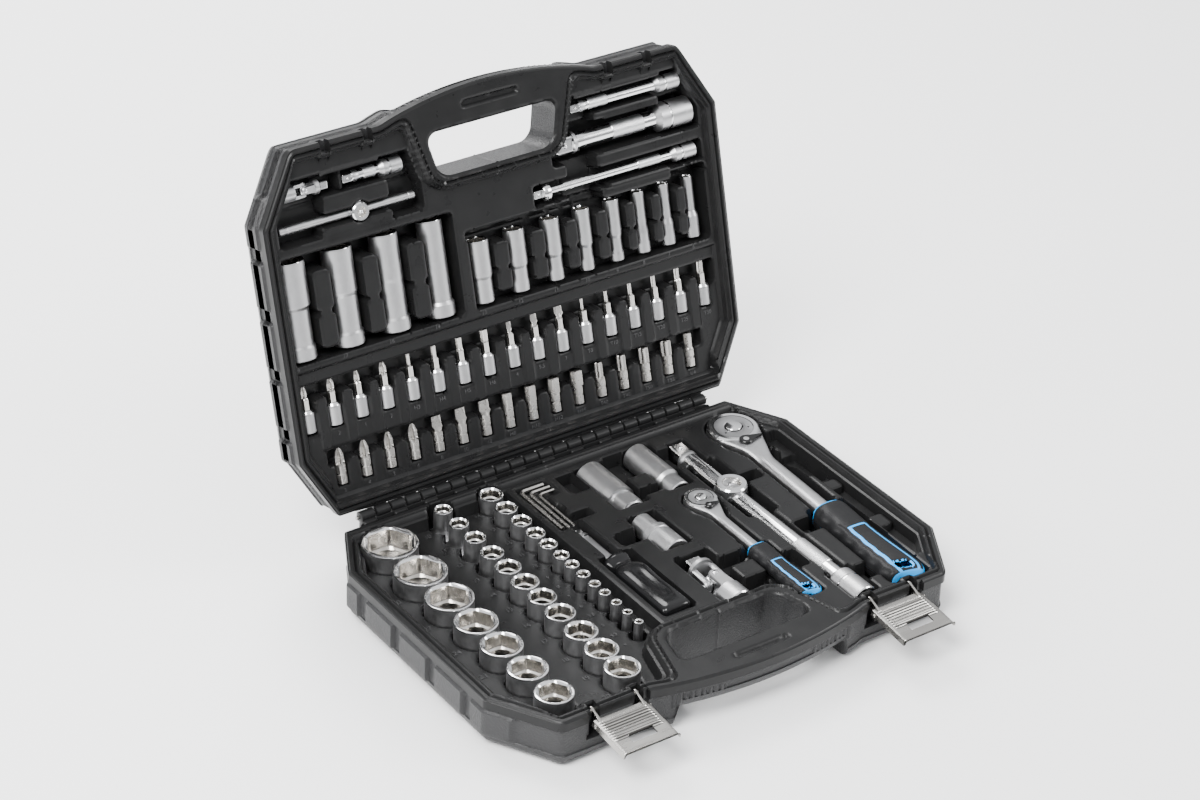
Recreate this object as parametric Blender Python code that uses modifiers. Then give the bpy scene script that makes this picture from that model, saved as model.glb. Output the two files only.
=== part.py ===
"""Socket wrench set in an open double-walled carrying case.

The row frame is in metres: origin at the centre of the base's underside, +X right, +Y towards the hinge,
+Z up. The lid and everything in it is laid out as in the closed case, under an empty on the hinge axis that
turns it open. A "depth" is a distance from the parting plane into either half.
"""

import math

import bmesh
import bpy
from mathutils import Matrix

MM = 0.001
STEEL_GAP = 0.3 * MM  # between neighbouring pieces
FIT = 1.0 * MM  # room round a tool in its pocket

# Case
CASE_WIDTH = 400 * MM
CASE_DEPTH = 278 * MM
BASE_HEIGHT = 40 * MM
LID_HEIGHT = 38 * MM
SKIN = 2 * MM
BACK_CHAMFER = (25 * MM, 47 * MM)
FRONT_CHAMFER = (30 * MM, 52 * MM)
RIM_WIDTH = 9 * MM
BASE_DECK = 4 * MM
LID_DECK = 6 * MM
VENT_RADIUS = 3 * MM
VENT_X = 120 * MM

# Carrying handle at the front of both halves
HANDLE_BULGE = 14 * MM
BULGE_HALF_WIDTH = 94 * MM
HOLE_HALF_WIDTH = 58 * MM
HOLE_BACK = 50 * MM - CASE_DEPTH / 2
HOLE_FRONT = 15 * MM - CASE_DEPTH / 2
DECK_AT_HANDLE = 66 * MM - CASE_DEPTH / 2

# Hinge
HINGE_Y = CASE_DEPTH / 2 + 7.1 * MM
HINGE_Z = BASE_HEIGHT + 2.2 * MM
LID_OPENING = math.radians(105.3)
ROD_RADIUS = 1.5 * MM
KNUCKLE_RADIUS = 4.6 * MM
KNUCKLE_LENGTH = 12 * MM
KNUCKLE_PAIRS = 12
KNUCKLE_PITCH = 26.6 * MM
WEB_HEIGHT = 9 * MM

# Draw latches
LATCH_X = 123 * MM
LATCH_RECESS = (52 * MM, 24 * MM)
RECESS_BACK = 3 * MM - CASE_DEPTH / 2
ARM_SLOT_BACK = 11 * MM - CASE_DEPTH / 2
ARM_OFFSET = 18.5 * MM
ARM_SIZE = (5 * MM, 1.6 * MM)
PIN_Y = 7 * MM - CASE_DEPTH / 2
PIN_DEPTH = 5 * MM
PIN_RADIUS = 1.2 * MM
BAR_Y = -4.5 * MM - CASE_DEPTH / 2
BAR_DEPTH = 10 * MM
BAR_RADIUS = 1.6 * MM
BAR_LENGTH = 48 * MM
PLATE_SIZE = (47 * MM, 40 * MM, 1.2 * MM)
PLATE_TILT = math.radians(-6)

# Half inch sockets of the outer column: size, place along the column
OUTER_COLUMN_X = -155 * MM
OUTER_SIZES = (32, 30, 27, 24, 23, 22, 21)
OUTER_FIRST_Y = 109.5 * MM
OUTER_PITCH = 33 * MM  # the least, for the smaller ones

# Extension bar of the base with its sliding head
EXTENSION_X = 108.5 * MM
EXTENSION_BACK = 115 * MM
EXTENSION_LENGTH = 238 * MM
EXTENSION_FEMALE = 11.5 * MM
EXTENSION_SHANK = 7 * MM
SLIDING_HEAD_Y = 41 * MM
SLIDING_HEAD_RADIUS = 13 * MM
SLIDING_HEAD_HEIGHT = 20 * MM
SLIDING_HEAD_TRAVEL = 28 * MM

SOCKET_LENGTH = 35.5 * MM
HALF_SQUARE = 12.7 * MM
QUARTER_SQUARE = 6.35 * MM
BUTTON_TRAVEL = 1.5 * MM
HEX_KEYS = (3, 2.5, 2)

# Slots of the two columns of sockets without nodes of their own: x, back y, front y, width
MIDDLE_SLOT = (-98 * MM, 136 * MM, -121 * MM, 29 * MM)
INNER_SLOT = (-56 * MM, 135.5 * MM, -74 * MM, 20 * MM)

# Long half inch sockets in the lid: size, x
LONG_SOCKETS = ((19, -178), (17, -137), (16, -97), (14, -57))
LONG_MOUTH_Y = -57 * MM
LONG_BACK_Y = 18.5 * MM


def collection(name):
    """The collection of this name, made when it is first asked for."""
    found = bpy.data.collections.get(name)
    if found is None:
        found = bpy.data.collections.new(name)
        bpy.context.scene.collection.children.link(found)
    return found


def material(name, colour, roughness, metallic):
    """A Principled material of one colour."""
    found = bpy.data.materials.get(name)
    if found is None:
        found = bpy.data.materials.new(name)
        found.use_nodes = True
        shader = found.node_tree.nodes["Principled BSDF"]
        shader.inputs["Base Color"].default_value = (*colour, 1)
        shader.inputs["Roughness"].default_value = roughness
        shader.inputs["Metallic"].default_value = metallic
        found.diffuse_color = (*colour, 1)
    return found


def case_plastic():
    return material("case_plastic", (0.03, 0.031, 0.033), 0.5, 0)


def satin_chrome():
    return material("satin_chrome", (0.72, 0.72, 0.72), 0.28, 1)


def zinc_plate():
    return material("zinc_plate", (0.66, 0.64, 0.6), 0.3, 1)


def grip_rubber():
    return material("grip_rubber", (0.05, 0.052, 0.056), 0.6, 0)


def black_plastic():
    return material("black_plastic", (0.012, 0.012, 0.013), 0.4, 0)


def place(name, mesh, finish=None, parent=None, at=(0, 0, 0), turn=(0, 0, 0)):
    """A named piece of the set, or a cutter where no finish is given."""
    piece = bpy.data.objects.new(name, mesh)
    piece.parent = parent
    piece.location = at
    piece.rotation_euler = turn
    if finish is None:
        collection("cutters").objects.link(piece)
        piece.hide_render = True
        piece.display_type = "WIRE"
    else:
        collection("socket_wrench_set").objects.link(piece)
        mesh.materials.append(finish)
    return piece


def pivot(name, at, turn=(0, 0, 0), parent=None):
    """An empty on a joint's axis or at a tool's own zero."""
    empty = bpy.data.objects.new(name, None)
    empty.location = at
    empty.rotation_euler = turn
    empty.parent = parent
    collection("socket_wrench_set").objects.link(empty)
    return empty


def finish_mesh(name, work, sharp=30):
    """Turns a bmesh into mesh data, smooth except at edges sharper than this many degrees."""
    mesh = bpy.data.meshes.new(name)
    work.to_mesh(mesh)
    work.free()
    mesh.shade_smooth()
    mesh.set_sharp_from_angle(angle=math.radians(sharp))
    return mesh


def box(size, centre=(0, 0, 0)):
    work = bmesh.new()
    bmesh.ops.create_cube(work, size=1)
    bmesh.ops.scale(work, verts=work.verts, vec=size)
    bmesh.ops.translate(work, verts=work.verts, vec=centre)
    return finish_mesh("box", work)


def span_box(low, high):
    """A box given by its two corners."""
    size = [b - a for a, b in zip(low, high)]
    return box(size, [(a + b) / 2 for a, b in zip(low, high)])


def cylinder(radius, length, sides, axis="Z", centre=(0, 0, 0), far_radius=None):
    """A cylinder or cone centred on a point, along X, Y or Z; far_radius is at its positive end."""
    far = radius if far_radius is None else far_radius
    work = bmesh.new()
    bmesh.ops.create_cone(work, cap_ends=True, segments=sides, radius1=radius, radius2=far, depth=length)
    spin = math.pi / sides if sides in (4, 8) else 0
    tip = {"X": (math.pi / 2, "Y"), "Y": (-math.pi / 2, "X"), "Z": None}[axis]
    bmesh.ops.rotate(work, verts=work.verts, matrix=rotation(spin, "Z"))
    if tip:
        bmesh.ops.rotate(work, verts=work.verts, matrix=rotation(*tip))
    bmesh.ops.translate(work, verts=work.verts, vec=centre)
    return finish_mesh("cylinder", work)


def rotation(angle, axis):
    return Matrix.Rotation(angle, 3, axis)


def prism(outline, low, high):
    """A flat outline, filled and made as thick as the span from low to high."""
    curve = bpy.data.curves.new("outline", "CURVE")
    curve.dimensions = "2D"
    curve.fill_mode = "BOTH"
    curve.extrude = (high - low) / 2
    line = curve.splines.new("POLY")
    line.points.add(len(outline) - 1)
    for point, (x, y) in zip(line.points, outline):
        point.co = (x, y, 0, 1)
    line.use_cyclic_u = True
    holder = bpy.data.objects.new("outline", curve)
    bpy.context.scene.collection.objects.link(holder)
    depsgraph = bpy.context.evaluated_depsgraph_get()
    mesh = bpy.data.meshes.new_from_object(holder.evaluated_get(depsgraph))
    bpy.data.objects.remove(holder)
    bpy.data.curves.remove(curve)
    work = bmesh.new()
    work.from_mesh(mesh)
    bpy.data.meshes.remove(mesh)
    bmesh.ops.remove_doubles(work, verts=work.verts, dist=0.01 * MM)
    bmesh.ops.recalc_face_normals(work, faces=work.faces)
    bmesh.ops.translate(work, verts=work.verts, vec=(0, 0, (low + high) / 2))
    return finish_mesh("prism", work)


def arc(x, y, radius, start, end, steps):
    """Points along an arc, with its angles in degrees."""
    angles = [math.radians(start + (end - start) * i / steps) for i in range(steps + 1)]
    return [(x + radius * math.cos(a), y + radius * math.sin(a)) for a in angles]


def rounded(x0, x1, y0, y1, radius, steps=3):
    """A rectangle with round corners."""
    corners = ((x1, y1, 0), (x0, y1, 90), (x0, y0, 180), (x1, y0, 270))
    points = []
    for x, y, start in corners:
        x_in = x - radius if x == x1 else x + radius
        y_in = y - radius if y == y1 else y + radius
        points += arc(x_in, y_in, radius, start, start + 90, steps)
    return points


def turned(point, x, y, angle):
    """A point of a plan turned about (x, y)."""
    dx, dy = point[0] - x, point[1] - y
    return (x + dx * math.cos(angle) - dy * math.sin(angle), y + dx * math.sin(angle) + dy * math.cos(angle))


def revolve(name, profile, steps, finish, parent=None, at=(0, 0, 0), turn=(0, 0, 0)):
    """A turned piece from (radius, height) points that run down its outer side."""
    mesh = bpy.data.meshes.new(name)
    edges = [(i, i + 1) for i in range(len(profile) - 1)]
    mesh.from_pydata([(r, 0, z) for r, z in profile], edges, [])
    piece = place(name, mesh, finish, parent, at, turn)
    screw = piece.modifiers.new("turn", "SCREW")
    screw.steps = steps
    screw.render_steps = steps
    screw.use_merge_vertices = True
    screw.merge_threshold = 0.01 * MM
    screw.use_smooth_shade = True
    return piece


def combine(piece, tool, operation="DIFFERENCE"):
    """Cuts a tool out of a piece, or joins it on."""
    step = piece.modifiers.new(operation.lower(), "BOOLEAN")
    step.operation = operation
    step.object = tool
    return piece


def combine_all(piece, tools, operation="DIFFERENCE"):
    """The same with every object of a collection."""
    step = piece.modifiers.new(operation.lower(), "BOOLEAN")
    step.operation = operation
    step.operand_type = "COLLECTION"
    step.collection = tools
    return piece


def cut(piece, mesh, at=(0, 0, 0), turn=(0, 0, 0)):
    """Cuts a shape, given in the piece's own frame, out of it."""
    return combine(piece, place(piece.name + "_cut", mesh, None, piece, at, turn))


def join(piece, mesh, at=(0, 0, 0), turn=(0, 0, 0)):
    """Joins a shape, given in the piece's own frame, onto it."""
    return combine(piece, place(piece.name + "_part", mesh, None, piece, at, turn), "UNION")


class Half:
    """One double-walled half of the case, with the pockets of its tray."""

    def __init__(self, name, parent, origin, parting, inward, height, deck):
        self.name = name
        self.parent = parent
        self.origin = origin
        self.parting = parting
        self.inward = inward
        self.height = height
        self.deck = deck
        self.pockets = collection(name + "_pockets")
        self.walls = collection(name + "_pocket_walls")
        self.moulded = collection(name + "_moulded")

    def level(self, depth):
        """The z of a depth below the parting plane."""
        return self.parting + self.inward * depth

    def spot(self, x, y, depth):
        """A place in this half, as the location of a child of its parent."""
        return tuple(a + b for a, b in zip(self.origin, (x, y, self.level(depth))))

    def solid(self, outline, shallow, deep):
        low, high = sorted((self.level(shallow), self.level(deep)))
        return prism(outline, low, high)

    def add(self, mesh, group):
        piece = place(group.name, mesh, None, self.parent, self.origin)
        collection("cutters").objects.unlink(piece)
        group.objects.link(piece)

    def pocket(self, x0, x1, y0, y1, depth, lean=None):
        """A pocket with a rectangular mouth, and its wall; lean is a point and an angle to turn it by."""
        corner = 2 * MM
        for group, grow in ((self.pockets, 0), (self.walls, SKIN)):
            outline = rounded(x0 - grow, x1 + grow, y0 - grow, y1 + grow, corner + grow, 1)
            if lean:
                outline = [turned(point, *lean) for point in outline]
            self.add(self.solid(outline, -2 * self.deck, depth + grow), group)

    def round_pocket(self, x, y, radius, depth, sides=16):
        """A pocket with a round mouth, and its wall."""
        for group, grow in ((self.pockets, 0), (self.walls, SKIN)):
            outline = arc(x, y, radius + grow, 0, 360 - 360 / sides, sides - 1)
            self.add(self.solid(outline, -2 * self.deck, depth + grow), group)

    def through(self, outline, grown):
        """A hole through both walls."""
        past = self.height + 5 * MM
        self.add(self.solid(outline, -5 * MM, past), self.pockets)
        self.add(self.solid(grown, -2 * self.deck, past), self.walls)


def case_outline(inset=0.0):
    """The case in plan: an octagon whose front swells over the carrying handle."""
    w, d = CASE_WIDTH / 2 - inset, CASE_DEPTH / 2 - inset
    trim = inset * 0.6
    bx, by = BACK_CHAMFER[0] - trim / 2, BACK_CHAMFER[1] - trim
    fx, fy = FRONT_CHAMFER[0] - trim / 2, FRONT_CHAMFER[1] - trim
    bulge = []
    for i in range(9):
        share = i / 4 - 1
        bulge.append((share * BULGE_HALF_WIDTH, -d - HANDLE_BULGE * math.cos(share * math.pi / 2) ** 0.8))
    front = [(-w, -d + fy), (-w + fx, -d), *bulge, (w - fx, -d), (w, -d + fy)]
    return [*front, (w, d - by), (w - bx, d), (-w + bx, d), (-w, d - by)]


def deck_outline():
    """The tray's deck inside the rim, which runs behind the handle hole."""
    w, d = CASE_WIDTH / 2 - RIM_WIDTH, CASE_DEPTH / 2 - RIM_WIDTH
    bx, by = BACK_CHAMFER
    fx, fy = FRONT_CHAMFER
    inner = HOLE_HALF_WIDTH + 6 * MM
    outer = inner + 24 * MM
    notch = [(-outer, -d), (-inner, DECK_AT_HANDLE), (inner, DECK_AT_HANDLE), (outer, -d)]
    front = [(-w, -d + fy), (-w + fx, -d), *notch, (w - fx, -d), (w, -d + fy)]
    return [*front, (w, d - by), (w - bx, d), (-w + bx, d), (-w, d - by)]


def handle_hole(grow=0.0):
    """A trapezoid with round corners, wider towards the front."""
    narrow, wide = HOLE_HALF_WIDTH - 8 * MM, HOLE_HALF_WIDTH
    radius = 9 * MM
    back, front = HOLE_BACK - radius, HOLE_FRONT + radius
    size = radius + grow
    points = arc(narrow - radius, back, size, 10, 90, 3)
    points += arc(-narrow + radius, back, size, 90, 170, 3)
    points += arc(-wide + radius, front, size, 170, 270, 4)
    return points + arc(wide - radius, front, size, 270, 370, 4)


def knuckles(half, offset):
    """One half's share of the hinge knuckles, each with the web that carries it."""
    start = -KNUCKLE_PITCH * (KNUCKLE_PAIRS - 1) / 2 + offset
    wall_y = CASE_DEPTH / 2 - SKIN / 2
    low, high = sorted((half.level(0.5 * MM), half.level(WEB_HEIGHT)))
    for i in range(KNUCKLE_PAIRS):
        x = start + i * KNUCKLE_PITCH
        x0, x1 = x - KNUCKLE_LENGTH / 2, x + KNUCKLE_LENGTH / 2
        half.add(cylinder(KNUCKLE_RADIUS, KNUCKLE_LENGTH, 10, "X", (x, HINGE_Y, HINGE_Z)), half.moulded)
        half.add(span_box((x0 + 0.01 * MM, wall_y, low), (x1 - 0.01 * MM, HINGE_Y, high)), half.moulded)


def latch_seats(half):
    """The recesses for the latches in the front wall, with their walls."""
    width, depth = LATCH_RECESS
    for side in (-1, 1):
        x = side * LATCH_X
        x0, x1 = x - width / 2, x + width / 2
        front = -CASE_DEPTH / 2 - 20 * MM
        for group, grow in ((half.pockets, 0), (half.walls, SKIN)):
            low, high = sorted((half.level(-5 * MM), half.level(depth + grow)))
            half.add(span_box((x0 - grow, front, low), (x1 + grow, RECESS_BACK + grow, high)), group)
            for arm in (-ARM_OFFSET, ARM_OFFSET):
                reach = ARM_SIZE[0] / 2 + 1.2 * MM + grow
                a0, a1 = x + arm - reach, x + arm + reach
                half.add(span_box((a0, front, low), (a1, ARM_SLOT_BACK + grow, high)), group)


def half_case(half):
    """The double-walled shell of one half: outer form, hollow between its walls, deck and pockets."""
    outer_form = half.solid(case_outline(), 0, half.height)
    shell = place(half.name, outer_form, case_plastic(), half.parent, half.origin)
    hollow_form = half.solid(case_outline(SKIN), half.deck + SKIN, half.height - SKIN)
    hollow = place(half.name + "_hollow", hollow_form, None, half.parent, half.origin)
    combine_all(hollow, half.walls)
    combine(shell, hollow)
    deck_form = half.solid(deck_outline(), -2 * half.deck, half.deck)
    combine(shell, place(half.name + "_deck", deck_form, None, half.parent, half.origin))
    combine_all(shell, half.pockets)
    combine_all(shell, half.moulded, "UNION")
    bore = cylinder(ROD_RADIUS + STEEL_GAP, CASE_WIDTH, 10, "X", (0, HINGE_Y, HINGE_Z))
    combine(shell, place(half.name + "_rod_bore", bore, None, half.parent, half.origin))
    vent = cylinder(VENT_RADIUS, 12 * MM, 12, "Y", (VENT_X, CASE_DEPTH / 2, half.level(half.height / 2)))
    combine(shell, place(half.name + "_vent", vent, None, half.parent, half.origin))
    return shell


def latch(side, half):
    """A draw latch hanging open: pin in the base, link with two arms and a bar, lever plate on the bar."""
    name = "latch_left_" if side < 0 else "latch_right_"
    x = side * LATCH_X
    reach = math.hypot(PIN_Y - BAR_Y, BAR_DEPTH - PIN_DEPTH)
    droop = math.atan2(BAR_DEPTH - PIN_DEPTH, PIN_Y - BAR_Y)
    block_width = 2 * ARM_OFFSET - ARM_SIZE[0] - 2.4 * MM
    pin_at = half.spot(x, PIN_Y, PIN_DEPTH)
    pin_length = 2 * ARM_OFFSET + ARM_SIZE[0]
    place(name + "pin", cylinder(PIN_RADIUS, pin_length, 12, "X"), zinc_plate(), None, pin_at)
    half.add(cylinder(PIN_RADIUS + STEEL_GAP, block_width + 2 * MM, 12, "X", pin_at), half.pockets)

    link_pivot = pivot(name + "link_pivot", pin_at, (droop, 0, 0))
    round_bar = cylinder(BAR_RADIUS, BAR_LENGTH, 12, "X", (0, -reach, 0))
    link = place(name + "link", round_bar, zinc_plate(), link_pivot)
    width, thickness = ARM_SIZE
    for arm in (-ARM_OFFSET, ARM_OFFSET):
        join(link, box((width, reach, thickness), (arm, -reach / 2, 0)))
        join(link, cylinder(PIN_RADIUS + 1.6 * MM, width, 12, "X", (arm, 0, 0)))
    cut(link, cylinder(PIN_RADIUS + STEEL_GAP, CASE_WIDTH / 4, 12, "X"))

    lever_pivot = pivot(name + "lever_pivot", (0, -reach, 0), (-PLATE_TILT - droop, 0, 0), link_pivot)
    wide, long, thin = PLATE_SIZE
    drop = BAR_RADIUS + 0.8 * MM
    end = 3 * MM
    plate = box((wide, long, thin), (0, end - long / 2, -drop))
    lever = place(name + "lever", plate, zinc_plate(), lever_pivot)
    flange = long - 6 * MM
    for edge in (-1, 1):
        flange_x = edge * (wide - thin) / 2
        middle = (flange_x, end - flange / 2, 0.4 * MM - drop / 2)
        join(lever, box((thin, flange, drop + 1.6 * MM), middle))
        join(lever, cylinder(BAR_RADIUS + 1.5 * MM, thin * 1.3, 12, "X", (flange_x, 0, 0)))
    cut(lever, cylinder(BAR_RADIUS + STEEL_GAP, CASE_WIDTH / 4, 12, "X"))
    cut(lever, box((wide * 0.45, 7 * MM, 4 * thin), (4 * MM, -long + 12 * MM, -drop)))


def hex_hole(across, length, top):
    """A six-sided cutter across the flats, its upper end at a height."""
    return cylinder(across / 2 / math.cos(math.pi / 6), length, 6, "Z", (0, 0, top - length / 2))


def socket(name, size, profile, length, square, parent, at, turn=(0, 0, 0)):
    """A socket from its drive end at zero to its mouth at its length: hexagon meets square inside."""
    piece = revolve(name, profile, 16, satin_chrome(), parent, at, turn)
    across = size * MM + 0.2 * MM
    hex_depth = min(length * 0.5, 30 * MM)
    cut(piece, hex_hole(across, hex_depth + 1 * MM, length + 1 * MM))
    hole = square + 0.2 * MM
    cut(piece, box((hole, hole, length - hex_depth + 2 * MM), (0, 0, (length - hex_depth) / 2)))
    return piece


def short_profile(radius, length):
    """A short socket: its mouth half at full width and its drive half a little narrower."""
    narrow = radius - 1.5 * MM
    outer = [(radius, length), (radius, length * 0.45), (narrow, length * 0.38), (narrow, 0)]
    return [(0, length), *outer, (0, 0)]


def outer_radius(size):
    """The outer radius of a half inch socket of this size in millimetres."""
    return (size * 1.3 + 1.5) / 2 * MM


def outer_sockets(half):
    """The seven largest sockets, standing in touching round pockets from the hinge to the front."""
    y = OUTER_FIRST_Y
    for i, size in enumerate(OUTER_SIZES):
        radius = outer_radius(size)
        if i:
            y -= max(outer_radius(OUTER_SIZES[i - 1]) + radius + 2 * STEEL_GAP, OUTER_PITCH)
        half.round_pocket(OUTER_COLUMN_X, y, radius + FIT, SOCKET_LENGTH + STEEL_GAP)
        at = half.spot(OUTER_COLUMN_X, y, SOCKET_LENGTH)
        profile = short_profile(radius, SOCKET_LENGTH)
        socket(f"socket_{size}", size, profile, SOCKET_LENGTH, HALF_SQUARE, None, at)


def bar(name, length, square, male, shank, female, female_length, parent, at, turn):
    """An extension bar from the tip of its male square at zero to its female end."""
    start = male - 1 * MM
    profile = [
        (0, length), (female, length), (female, length - female_length),
        (shank, length - female_length - 3 * MM), (shank, male + 2 * MM), (shank - 1 * MM, start), (0, start),
    ]
    piece = revolve(name, profile, 12, satin_chrome(), parent, at, turn)
    join(piece, box((square, square, male), (0, 0, male / 2)))
    hole = square + 0.2 * MM
    depth = male + 1 * MM
    cut(piece, box((hole, hole, depth + 2 * MM), (0, 0, length - depth / 2 + 1 * MM)))
    return piece


ALONG_FRONT = (math.pi / 2, 0, 0)  # turns a tool's own axis towards -Y
ALONG_BACK = (-math.pi / 2, 0, 0)
ALONG_X = (0, math.pi / 2, 0)


def long_bar(half):
    """The 250 mm extension with its sliding head, in a trough as wide as the head where the head slides."""
    x, back = EXTENSION_X, EXTENSION_BACK
    length, female = EXTENSION_LENGTH, EXTENSION_FEMALE
    depth = female + 0.5 * MM
    bar("extension_250", length, HALF_SQUARE, 16 * MM, EXTENSION_SHANK, female, 30 * MM, None,
        half.spot(x, back, depth), ALONG_FRONT)
    side = female + FIT
    front = back - length
    half.pocket(x - side, x + side, front - FIT, front + 34 * MM, depth + female + STEEL_GAP)
    side = EXTENSION_SHANK + FIT
    half.pocket(x - side, x + side, front + 30 * MM, back + FIT, depth + EXTENSION_SHANK + STEEL_GAP)
    y = SLIDING_HEAD_Y
    head = place("sliding_head", cylinder(SLIDING_HEAD_RADIUS, SLIDING_HEAD_HEIGHT, 20), satin_chrome(), None,
                 half.spot(x, y, depth))
    tip = 11 * MM
    below = SLIDING_HEAD_HEIGHT / 2
    join(head, box((HALF_SQUARE, HALF_SQUARE, tip + 2 * MM), (0, 0, 1 * MM - below - tip / 2)))
    cut(head, cylinder(EXTENSION_SHANK + STEEL_GAP, 60 * MM, 16, "Y"))
    wide = SLIDING_HEAD_RADIUS + FIT
    travel = SLIDING_HEAD_TRAVEL
    low = depth + below + STEEL_GAP
    half.pocket(x - wide, x + wide, y - wide - travel, y + wide + travel, low)
    well = HALF_SQUARE / 2 + FIT
    half.pocket(x - well, x + well, y - well - travel, y + well + travel, low + tip)


def tube_socket(name, size, radius, length, x, drive_y, half):
    """A spark plug socket lying in its trough, mouth towards the hinge, with its gripping rubber."""
    depth = radius + 0.5 * MM
    neck = radius * 0.86
    outer = [(radius, length), (radius, length * 0.32), (neck, length * 0.26), (neck, 0)]
    profile = [(0, length), *outer, (0, 0)]
    at = half.spot(x, drive_y, depth)
    piece = revolve(name, profile, 16, satin_chrome(), None, at, ALONG_BACK)
    bore = size * MM / 2 / math.cos(math.pi / 6)
    cut(piece, hex_hole(size * MM + 0.2 * MM, 20 * MM, length + 1 * MM))
    cut(piece, cylinder(bore - 1.5 * MM, length - 34 * MM, 16, "Z", (0, 0, (length + 2 * MM) / 2)))
    hole = HALF_SQUARE + 0.2 * MM
    cut(piece, box((hole, hole, 40 * MM), (0, 0, 6 * MM)))
    insert_radius = bore - 1.5 * MM - STEEL_GAP
    insert = place(name + "_rubber", cylinder(insert_radius, 9 * MM, 16, "Z", (0, 0, length - 25 * MM)),
                   black_plastic(), None, at, ALONG_BACK)
    cut(insert, cylinder(insert_radius - 2 * MM, 12 * MM, 12, "Z", (0, 0, length - 25 * MM)))
    side = radius + FIT
    half.pocket(x - side, x + side, drive_y - FIT, drive_y + length + FIT, depth + radius + STEEL_GAP)


def bit_adapter(half):
    """The square-to-hexagon adapter, lying along the tray."""
    radius, length = 12 * MM, 47 * MM
    x, y = 27 * MM, -1 * MM
    depth = radius + 0.5 * MM
    profile = [(0, length), (radius, length), (radius, length * 0.45), (radius * 0.8, length * 0.38)]
    profile += [(radius * 0.8, 0), (0, 0)]
    piece = revolve("bit_adapter", profile, 16, satin_chrome(), None, half.spot(x, y, depth), ALONG_BACK)
    hole = HALF_SQUARE + 0.2 * MM
    cut(piece, box((hole, hole, 34 * MM), (0, 0, length)))
    cut(piece, hex_hole(8.2 * MM, 40 * MM, 35 * MM))
    side = radius + FIT
    half.pocket(x - side, x + side, y - FIT, y + length + FIT, depth + radius + STEEL_GAP)


def universal_joint(prefix, square, radius, length, middle, at, turn, parent=None):
    """Two forked yokes on a cross: the first yoke ends in a male square, the second in a female one."""
    male = square * 1.1
    ear = radius * 0.36
    reach = radius * 0.5
    cross_size = radius * 0.78
    body = reach + radius * 0.6
    pin = radius * 0.2
    socket_pivot = pivot(prefix + "_root", at, turn, parent)
    cross_pivot = pivot(prefix + "_cross_pivot", (0, 0, 0), (0, 0, 0), socket_pivot)
    drive_pivot = pivot(prefix + "_drive_pivot", (0, 0, 0), (0, 0, 0), cross_pivot)

    short = middle - male - body
    drive_body = cylinder(radius, short, 16, "Z", (0, 0, -body - short / 2))
    drive = place(prefix + "_drive_yoke", drive_body, satin_chrome(), drive_pivot)
    join(drive, box((square, square, male + 2 * MM), (0, 0, male / 2 + 1 * MM - middle)))
    fork(drive, radius, ear, -body - 1 * MM, reach, "Y", cross_size, pin)

    far = length - middle
    yoke_body = cylinder(radius, far - body, 16, "Z", (0, 0, (far + body) / 2))
    yoke = place(prefix + "_socket_yoke", yoke_body, satin_chrome(), socket_pivot)
    fork(yoke, radius, ear, body + 1 * MM, -reach, "X", cross_size, pin)
    hole = square + 0.2 * MM
    cut(yoke, box((hole, hole, 2 * (far - body) - 5 * MM), (0, 0, far)))

    cross = place(prefix + "_cross", box((cross_size,) * 3), zinc_plate(), cross_pivot)
    arm = radius * 2 - 0.6 * MM
    join(cross, cylinder(pin, arm, 12, "X"))
    join(cross, cylinder(pin, arm, 12, "Y"))


def fork(yoke, radius, ear, base, reach, axis, cross_size, pin):
    """Two ears from a yoke's body to past the cross, bored for the pin along an axis."""
    inner = cross_size / 2 + STEEL_GAP
    for side in (-1, 1):
        middle = side * (inner + radius) / 2
        size = ((radius - inner) * 0.94, 2 * ear, abs(reach - base))
        centre = (middle, 0, (base + reach) / 2)
        if axis == "Y":
            size = (size[1], size[0], size[2])
            centre = (0, middle, centre[2])
        join(yoke, box(size, centre))
    cut(yoke, cylinder(pin + STEEL_GAP, 4 * radius, 12, axis))


class RatchetSize:
    """The sizes of one ratchet, about its head's centre, with the handle towards -Y."""

    def __init__(self, head, height, square, male, neck, thick, grip_start, grip_end, grip_width, grip_thick):
        self.head = head
        self.height = height
        self.square = square
        self.male = male
        self.neck = neck
        self.thick = thick
        self.grip_start = grip_start
        self.grip_end = grip_end
        self.grip_width = grip_width
        self.grip_thick = grip_thick
        self.button = head * 0.27
        self.drive = head * 0.62
        self.roof = height * 0.2


BIG_RATCHET = RatchetSize(21 * MM, 18 * MM, HALF_SQUARE, 15 * MM, (15 * MM, 14 * MM), 11 * MM,
                          122 * MM, 229 * MM, (29 * MM, 34 * MM), 24 * MM)
SMALL_RATCHET = RatchetSize(13 * MM, 11 * MM, QUARTER_SQUARE, 8 * MM, (9 * MM, 9 * MM), 7 * MM,
                            70 * MM, 141 * MM, (18 * MM, 21 * MM), 12.5 * MM)
BIG_RATCHET_AT = (158 * MM, 105 * MM, math.radians(-2.1))
SMALL_RATCHET_AT = (77 * MM, 38 * MM, math.radians(-1))


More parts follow.
